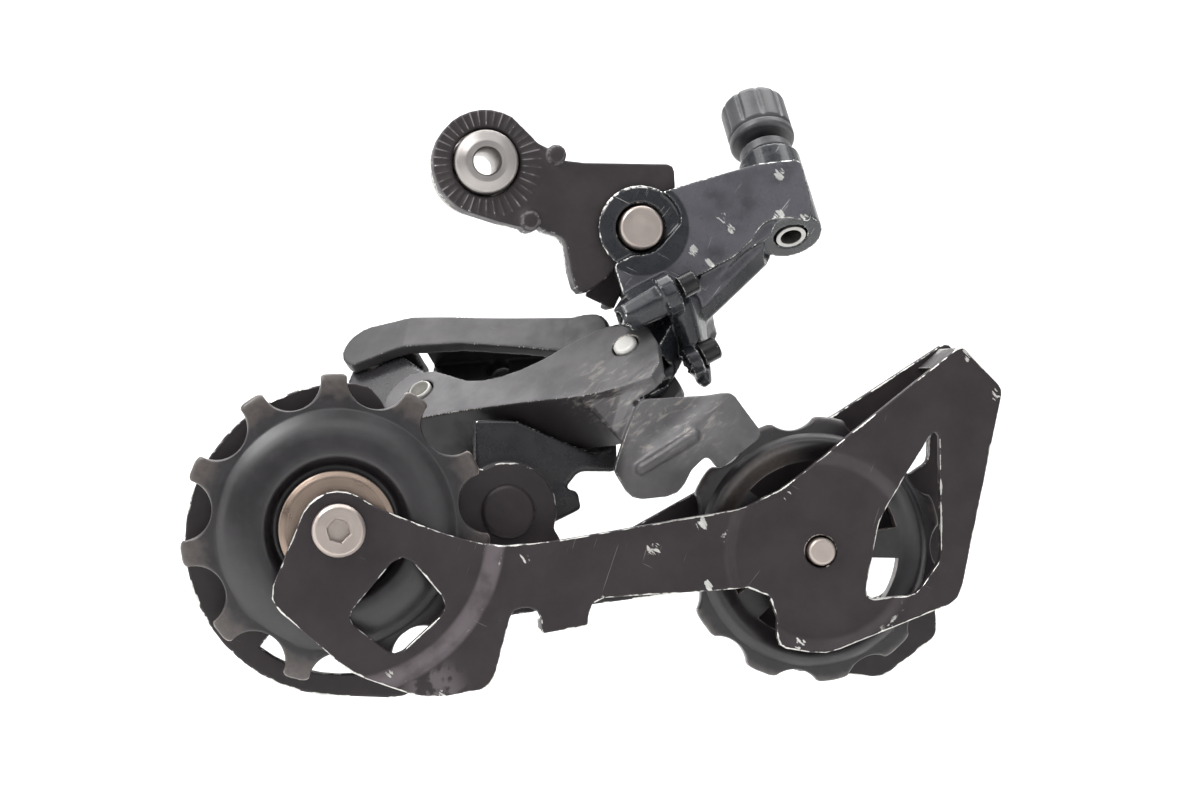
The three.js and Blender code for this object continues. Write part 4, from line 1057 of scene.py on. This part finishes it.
def make_hanger_link():
    _, back = box_depth("hanger_link")
    dots = [ring_points(HANGER, np.arange(5.75, 8.6, 0.45), SERRATIONS * 6)]
    dots += [ring_points(rivet, (0.5, 0.9, 1.2, 1.42, 1.58, 1.68), 20) for rivet in RIVETS]
    dots = np.concatenate([*dots, RIVETS])
    loops = plate_loops("hanger_link", 1.5)
    piece = plate("hanger_link_plate", loops, 0.0, back, 0.35, hanger_lift, dots, 1.2)
    flatten_back(piece, back)
    stands_for(piece, "hanger_link", HANGER_BLACK)


def flatten_back(piece, back):
    """Puts the back face level again where lift moved it with the front."""
    for vertex in piece.data.vertices:
        if vertex.co.y > (back - 1.2) * MM:
            vertex.co.y = back * MM


BOLT_HEAD = 4.6


def make_hanger_bolt():
    """Bevelled near end with a round bore, and a hexagonal socket at the far end."""
    front, back = box_depth("hanger_bolt")
    head = back - BOLT_HEAD
    profile = [
        (0, front), (3.2, front), (3.45, front + 0.1), (4.75, front + 0.75), (5, front + 1.1),
        (5, head), (7.4, head), (7.4, back - 0.8), (6.8, back), (0, back),
    ]
    profile = softened(np.array(profile, float), False, 0.22)
    origin = Vector((HANGER[0], 0, HANGER[1])) * MM
    piece = lathe("hanger_bolt_turned", profile, False, Y_AXIS, origin, 96)
    bore = [(0, front - 1), (2.8, front - 1), (2.1, front + 0.4), (2.1, back - 3), (0, back - 3)]
    combine(piece, lathe("bore", bore, False, Y_AXIS, origin, 48), "DIFFERENCE")
    hex_socket(piece, Y_AXIS, origin, 5.8, back - 3.9, back)
    store_radius(piece, Y_AXIS, origin)
    stands_for(piece, "hanger_bolt", BRIGHT_STEEL)


def make_pivot_axle():
    piece = relathe("b_axle", Y_AXIS, 72, 0.25, fill=3)
    centre = box_centre("b_axle")
    low, high = box_depth("b_axle")
    half = (high - low) / 2
    hex_socket(piece, Y_AXIS, centre, 5, half - 2.4, half)
    store_radius(piece, Y_AXIS, centre)
    stands_for(piece, "b_axle", WARM_STEEL)


# ---- screws and turned pieces


def make_screw(node, joint, across_flats, depth, head_up, slot, material):
    """A socket screw about a joint's axis; head_up is 1 where the head points along the axis."""
    axis = joint_axis(joint)
    centre = box_centre(node, joint)
    piece = relathe(node, axis, 40, 0.16, fill=across_flats / math.sqrt(3) + 0.08)
    heights = [(v.co - centre).dot(axis) / MM for v in piece.data.vertices]
    top = max(heights) if head_up > 0 else min(heights)
    hex_socket(piece, axis, centre, across_flats, top - head_up * depth, top)
    store_radius(piece, axis, centre)
    stands_for(piece, node, material)


def make_turned(node, axis, material, segments=64, rounding=0.2):
    stands_for(relathe(node, axis, segments, rounding), node, material)


# ---- cage plates


SHEET = 1.5
DISH_DEPTH = 0.9
UPPER_TAB = [(67.6, -31.9), (71, -28.9), (73.2, -31), (72.6, -32.2), (70.8, -30.6), (68.6, -32.8)]
LOWER_TAB = [(6.9, -71.5), (13.4, -70.4), (13.3, -69), (6.8, -70.1)]
LOWER_TAB_END = -9


def plate_dish(points):
    """The inner plate is pressed towards each pulley inside a cone."""
    rise = np.zeros(len(points))
    for centre, flat_radius, rim_radius in ((GUIDE, 22, 24.6), (TENSION, 13, 15.4)):
        radius = lengths(points - centre)
        share = np.clip((rim_radius - radius) / (rim_radius - flat_radius), 0, 1)
        rise = np.maximum(rise, DISH_DEPTH * share * share * (3 - 2 * share))
    return rise


def make_inner_cage_plate():
    """The sheet with its dishes, and the two tabs bent towards the far plate."""
    front, back = box_depth("inner_cage_plate")
    dots = [ring_points(GUIDE, np.arange(21.8, 25, 0.5), 130)]
    dots += [ring_points(TENSION, np.arange(12.8, 15.8, 0.5), 90)]
    loops = plate_loops("inner_cage_plate", front + 1.2)
    dots = np.concatenate(dots)
    piece = plate("inner_cage_plate_sheet", loops, front, front + SHEET, 0.25, plate_dish, dots)
    for tab, end in ((UPPER_TAB, back), (LOWER_TAB, LOWER_TAB_END)):
        loop = np.array(tab)
        loop = loop if area(loop) > 0 else loop[::-1]
        combine(piece, plate("tab", [loop], front + 0.6, end, 0.08), "UNION")
    stands_for(piece, "inner_cage_plate", BLACK_SHEET)


def make_outer_cage_plate():
    front, back = box_depth("outer_cage_plate")
    loops = plate_loops("outer_cage_plate", (front + back) / 2)
    piece = plate("outer_cage_plate_sheet", loops, front, back, 0.3)
    stands_for(piece, "outer_cage_plate", FAR_SHEET)


# ---- pulleys


TEETH = 11
PITCH_RADIUS = 12.7 / (2 * math.sin(math.pi / TEETH))
ROLLER_RADIUS = 3.9
SEAT_RADIUS = 4.6
GUIDE_TIP = 23.2
TENSION_TIP = 20.5
WINDOWS = 5


def tooth_ring(tip, first_tooth):
    """Angles and radii once round the teeth: round, worn seats between slightly rounded tips."""
    step = 2 * math.pi / TEETH
    seat = PITCH_RADIUS - ROLLER_RADIUS + SEAT_RADIUS
    to_tip = math.acos(min(1, (seat**2 + SEAT_RADIUS**2 - tip**2) / (2 * seat * SEAT_RADIUS)))
    reach = min(math.acos(SEAT_RADIUS / seat), to_tip - 0.06)
    around = np.linspace(-reach, reach, 26)
    across, out = SEAT_RADIUS * np.sin(around), seat - SEAT_RADIUS * np.cos(around)
    seat_angle, seat_reach = np.arctan2(across, out), np.hypot(across, out)
    land = np.linspace(0, 1, 16)[1:-1]
    land_angle = seat_angle[-1] + (step - 2 * seat_angle[-1]) * land
    land_reach = tip - (tip - seat_reach[-1]) * np.abs(2 * land - 1) ** 6
    angle, reach = np.concatenate([seat_angle, land_angle]), np.concatenate([seat_reach, land_reach])
    starts = math.radians(first_tooth) + step * (np.arange(TEETH) + 0.5)
    return (starts[:, None] + angle).ravel(), np.tile(reach, TEETH)


def pulley(node, centre, section, tip, first_tooth):
    """A toothed wheel swept as one grid: section gives (radius, half width) up to the teeth."""
    section = smooth_section(section)
    low, high = box_depth(node)
    middle = (low + high) / 2
    angles, tips = tooth_ring(tip, first_tooth)
    directions = len(angles)
    cos, sin = np.cos(angles), np.sin(angles)
    worn_tips = wavering(centre + 22 * rays(angles), 1.7, centre[0])
    tips = tips - 0.16 * np.abs(worn_tips) * np.clip((tips - 19) / 2, 0, 1)
    inner = np.arange(section[0, 0], section[-1, 0], 0.3)
    outward = 1 - 0.2 * np.cos(np.linspace(0.25, 1, 7) * math.pi / 2)
    shares = np.concatenate([np.linspace(0, 0.8, 9), outward])
    rows = [(np.full(directions, r), np.interp(r, section[:, 0], section[:, 1])) for r in inner]
    body_end = section[-1]
    for share in shares:
        radius = body_end[0] + (tips - body_end[0]) * share
        rounding = math.sqrt(max(0.0, 1 - (max(0.0, share - 0.72) / 0.28) ** 2))
        thin = 1 - 0.25 * np.clip((radius - 19.5) / 4, 0, 1)
        rows.append((radius, body_end[1] * thin * (0.35 + 0.65 * rounding)))
    verts = []
    for side in (-1, 1):
        for radius, half in rows:
            y = np.full(directions, middle) + side * half
            verts.append(np.stack([centre[0] + radius * cos, y, centre[1] + radius * sin], axis=1))
    count = len(rows)
    faces = []
    for i in range(directions):
        j = (i + 1) % directions
        for side in range(2):
            for row in range(count - 1):
                a, b = (side * count + row) * directions, (side * count + row + 1) * directions
                faces.append((a + i, a + j, b + j, b + i))
        rim, other = (count - 1) * directions, (2 * count - 1) * directions
        faces.append((rim + i, rim + j, other + j, other + i))
        faces.append((i, j, count * directions + j, count * directions + i))
    piece = new_piece(node + "_wheel", np.concatenate(verts), faces)
    make_outward(piece)
    return piece


def smooth_section(points):
    """A (radius, half width) section with its corners eased."""
    points = np.array(points, float)
    fine = np.arange(points[0, 0], points[-1, 0] + 1e-6, 0.25)
    width = np.interp(fine, points[:, 0], points[:, 1])
    for _ in range(3):
        width[1:-1] = (width[:-2] + 2 * width[1:-1] + width[2:]) / 4
    return np.stack([fine, width], axis=1)


def finish_pulley(piece, node, centre):
    store_radius(piece, Y_AXIS, (centre[0] * MM, 0, centre[1] * MM))
    stands_for(piece, node, PULLEY_RESIN)


def make_guide_pulley():
    section = [
        (4.5, 2.2), (8.4, 2.2), (8.7, 1.1), (10, 1.1), (10.3, 3), (11, 3.35), (12.4, 3.4), (14, 3.15),
        (15.4, 2.7), (16.6, 2.1), (17.4, 1.5), (18, 1.15),
    ]
    finish_pulley(pulley("guide_pulley", GUIDE, section, GUIDE_TIP, 91), "guide_pulley", GUIDE)


def make_tension_pulley():
    """The tension pulley, with windows that are wider at its rim than at its hub."""
    section = [(4.5, 2.85), (7.2, 2.85), (8.8, 1.0), (13.9, 0.95), (15.9, 2.2), (17, 2.25), (18, 1.15)]
    piece = pulley("tension_pulley", TENSION, section, TENSION_TIP, 279)
    spread = np.linspace(-0.45, 0.45, 9)
    for i in range(WINDOWS):
        middle = math.radians(112 + 360 / WINDOWS * i)
        rim = TENSION + 13.6 * rays(middle + spread)
        hub = TENSION + 9.4 * rays(middle - 0.92 * spread)
        window = np.concatenate([rim, hub])
        combine(piece, plate("window", [window], -16, -4, 0.01), "DIFFERENCE")
    finish_pulley(piece, "tension_pulley", TENSION)


# ---- cable adjuster


KNOB_RADIUS = 5.4
FLUTES = 10
FLUTE_DEPTH = 0.3
FLUTE_START = 2.1


def make_knob():
    """The adjuster's knob: shallow flutes, a plain collar below them and a slightly domed top."""
    axis = joint_axis("adjuster_turn")
    centre = box_centre("adjuster_knob", "adjuster_turn")
    profile = turned_profile("adjuster_knob", axis, centre)
    low, high = profile[:, 1].min(), profile[:, 1].max()
    bore = profile[:, 0].min()
    wide = KNOB_RADIUS
    outline = [
        (bore, low), (4.8, low), (5.2, low + 0.2), (wide, low + 0.6), (wide, low + 1.4),
        (5.25, low + 1.65), (5, low + 1.85), (5.25, low + 2.1), (wide, low + 2.4), (wide, low + 4.5),
        (wide, high - 1), (5.3, high - 0.55), (5, high - 0.15), (4.6, high), (bore, high),
    ]
    profile = softened(np.array(outline), True, 0.25)
    piece = lathe("adjuster_knob_grip", profile, True, axis, centre, 160)
    aside = axis.orthogonal().normalized()
    across = axis.cross(aside)
    for vertex in piece.data.vertices:
        away = vertex.co - centre
        height = away.dot(axis) / MM
        x, y = away.dot(aside), away.dot(across)
        radius = math.hypot(x, y)
        if radius < 4.3 * MM or height < low + FLUTE_START:
            continue
        wave = max(0.0, math.cos(FLUTES * math.atan2(y, x))) ** 7
        fade = min(1.0, (height - low - FLUTE_START) / 0.5)
        outward = (away - axis * away.dot(axis)).normalized()
        vertex.co -= outward * (FLUTE_DEPTH * MM * wave * fade)
    piece.data.update()
    stands_for(piece, "adjuster_knob", KNOB_RESIN)


# ---- forged links

SKID_MIDDLE = (28.0, -42.5)
SKID_FOLD = math.radians(38)
SKID_RIDGE = 1.5


def make_inner_link():
    """The link on the wheel side; its skid is pressed into a soft fold that runs up to the right."""
    piece = cast("inner_link", 0.22, 5)
    at = values_of(piece.data.vertices, "co") / MM
    x, z = at[:, 0] - SKID_MIDDLE[0], at[:, 2] - SKID_MIDDLE[1]
    along = x * math.cos(SKID_FOLD) + z * math.sin(SKID_FOLD)
    aside = z * math.cos(SKID_FOLD) - x * math.sin(SKID_FOLD)
    ridge = np.exp(-((aside / 2.1) ** 2)) + 0.5 * np.exp(-(((aside - 8) / 2.6) ** 2))
    ridge *= np.exp(-((along / 9) ** 4)) * np.clip((-12.8 - at[:, 1]) / 0.6, 0, 1)
    for vertex, rise in zip(piece.data.vertices, ridge):
        vertex.co.y -= SKID_RIDGE * rise * MM
    piece.data.update()
    stands_for(piece, "inner_link", INNER_GREY)


# ---- the whole object

make_hanger_link()
make_hanger_bolt()
make_pivot_axle()
make_inner_cage_plate()
make_outer_cage_plate()
make_guide_pulley()
make_tension_pulley()
make_knob()
make_inner_link()

PIN_AXIS = joint_axis("link_fold")
ADJUSTER_AXIS = joint_axis("adjuster_turn")

for slot, material, nodes in (
    ("plain_steel", DULL_STEEL, ("bolt_washer", "cage_stop_pin", "guide_spacer")),
    ("plain_steel", WARM_STEEL, ("tension_pulley_pin",)),
    ("spring_steel", DULL_STEEL, ("bolt_stop_ring",)),
    ("bronze", BRONZE, ("b_axle_bush", "p_axle_bush", "guide_bush", "tension_bush")),
    ("matte_black", LINK_BLACK, ("b_spring_cover", "p_cap", "p_axle")),
    ("rubber", RUBBER, ("b_pivot_seal", "p_seal")),
    ("nickel", NICKEL, ("guide_cap_inner", "guide_cap_outer")),
    ("nickel", NICKEL, ("tension_cap_inner", "tension_cap_outer")),
):
    for node in nodes:
        make_turned(node, Y_AXIS, material)

for node in ("inner_pin_upper", "inner_pin_lower", "outer_pin_upper", "outer_pin_lower"):
    make_turned(node, PIN_AXIS, PIN_STEEL, 40, 0.3)

make_turned("adjuster_sleeve", ADJUSTER_AXIS, DULL_STEEL, 48, 0.12)
make_turned("adjuster_barrel", ADJUSTER_AXIS, KNOB_RESIN)

for screw in (
    ("high_limit_screw", "high_limit_turn", 2, 1.8, 1, "gloss_black", SCREW_BLACK),
    ("low_limit_screw", "low_limit_turn", 2, 1.8, 1, "gloss_black", SCREW_BLACK),
    ("guide_pulley_bolt", "guide_bolt_turn", 3, 1.4, -1, "plain_steel", WARM_STEEL),
    ("b_tension_screw", "b_tension_turn", 2.5, 1.5, -1, "gloss_black", SCREW_BLACK),
    ("cable_clamp_bolt", "clamp_bolt_turn", 4, 2, 1, "plain_steel", DULL_STEEL),
):
    make_screw(*screw)

for node, voxel, rounds, slot, material in (
    ("upper_knuckle", 0.24, 5, "gloss_black", GLOSS_BLACK),
    ("lower_knuckle", 0.3, 8, "gloss_black", LOWER_BLACK),
    ("outer_link", 0.24, 5, "worn_grey", OUTER_GREY_SHADED),
    ("stop_plate", 0.2, 3, "matte_black", LINK_BLACK),
    ("cable_clamp_plate", 0.12, 4, "plain_steel", DULL_STEEL),
):
    stands_for(cast(node, voxel, rounds), node, material)

for node in ("b_spring", "return_spring", "p_spring", "adjuster_detent_spring"):
    stands_for(subdivided(node), node, SPRING_WIRE)

# ---- camera, floor and light

FLOOR_DROP = 0.06

low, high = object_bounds()
middle = (low + high) / 2

camera = add_object("camera", bpy.data.cameras.new("camera"))
camera.location = (-0.04167, -0.37611, -0.03690)
camera.rotation_euler = (math.radians(90), 0, math.radians(-9))
camera.data.lens = 73.1
camera.data.sensor_width = 36
bpy.context.scene.camera = camera


def make_sweep():
    """A pale floor that curves up into a wall behind the object, as one sheet."""
    floor_z = low.z - FLOOR_DROP
    depth, bend, height = 0.9, 0.35, 1.6
    profile = [(-1.6, floor_z), (depth - bend, floor_z)]
    for i in range(1, 17):
        turn = math.pi / 2 * i / 16
        profile.append((depth - bend + bend * math.sin(turn), floor_z + bend * (1 - math.cos(turn))))
    profile.append((depth, floor_z + height))
    verts = [(x / MM, y / MM, z / MM) for x in (-2.2, 2.2) for y, z in profile]
    count = len(profile)
    faces = [(i, i + 1, count + i + 1, count + i) for i in range(count - 1)]
    sweep = new_piece("floor_sweep", verts, faces)
    f = Finish("pale_floor")
    tone = f.mix(f.noise(60, 3), (0.88, 0.88, 0.87), (0.91, 0.91, 0.9))
    sweep.data.materials.append(f.done(tone, 0.8))


def make_light(name, place, size, power, aim=middle):
    light = bpy.data.lights.new(name, "AREA")
    light.shape = "RECTANGLE"
    light.size, light.size_y = size
    light.energy = power
    lamp = add_object(name, light)
    lamp.location = middle + Vector(place)
    lamp.rotation_euler = (aim - lamp.location).to_track_quat("-Z", "Y").to_euler()


make_sweep()
make_light("key", (-0.45, -0.3, 0.55), (0.35, 0.35), 4.5)
make_light("left", (-0.7, -0.15, 0.05), (0.2, 0.7), 1.6)
make_light("fill", (0.5, -0.6, 0.2), (0.5, 0.5), 0.8)
make_light("front_top", (0.1, -0.6, 0.62), (0.7, 0.3), 1.6)
make_light("top", (0.05, 0.2, 0.7), (0.9, 0.4), 4)
make_light("backdrop", (0.0, 0.25, 1.0), (1.8, 0.7), 12, middle + Vector((0, 0.9, 0)))

world = bpy.data.worlds.new("studio")
world.use_nodes = True
background = world.node_tree.nodes["Background"].inputs
background["Color"].default_value = (0.95, 0.96, 1.0, 1)
background["Strength"].default_value = 0.4
bpy.context.scene.world = world
bpy.context.scene.view_settings.view_transform = "Standard"
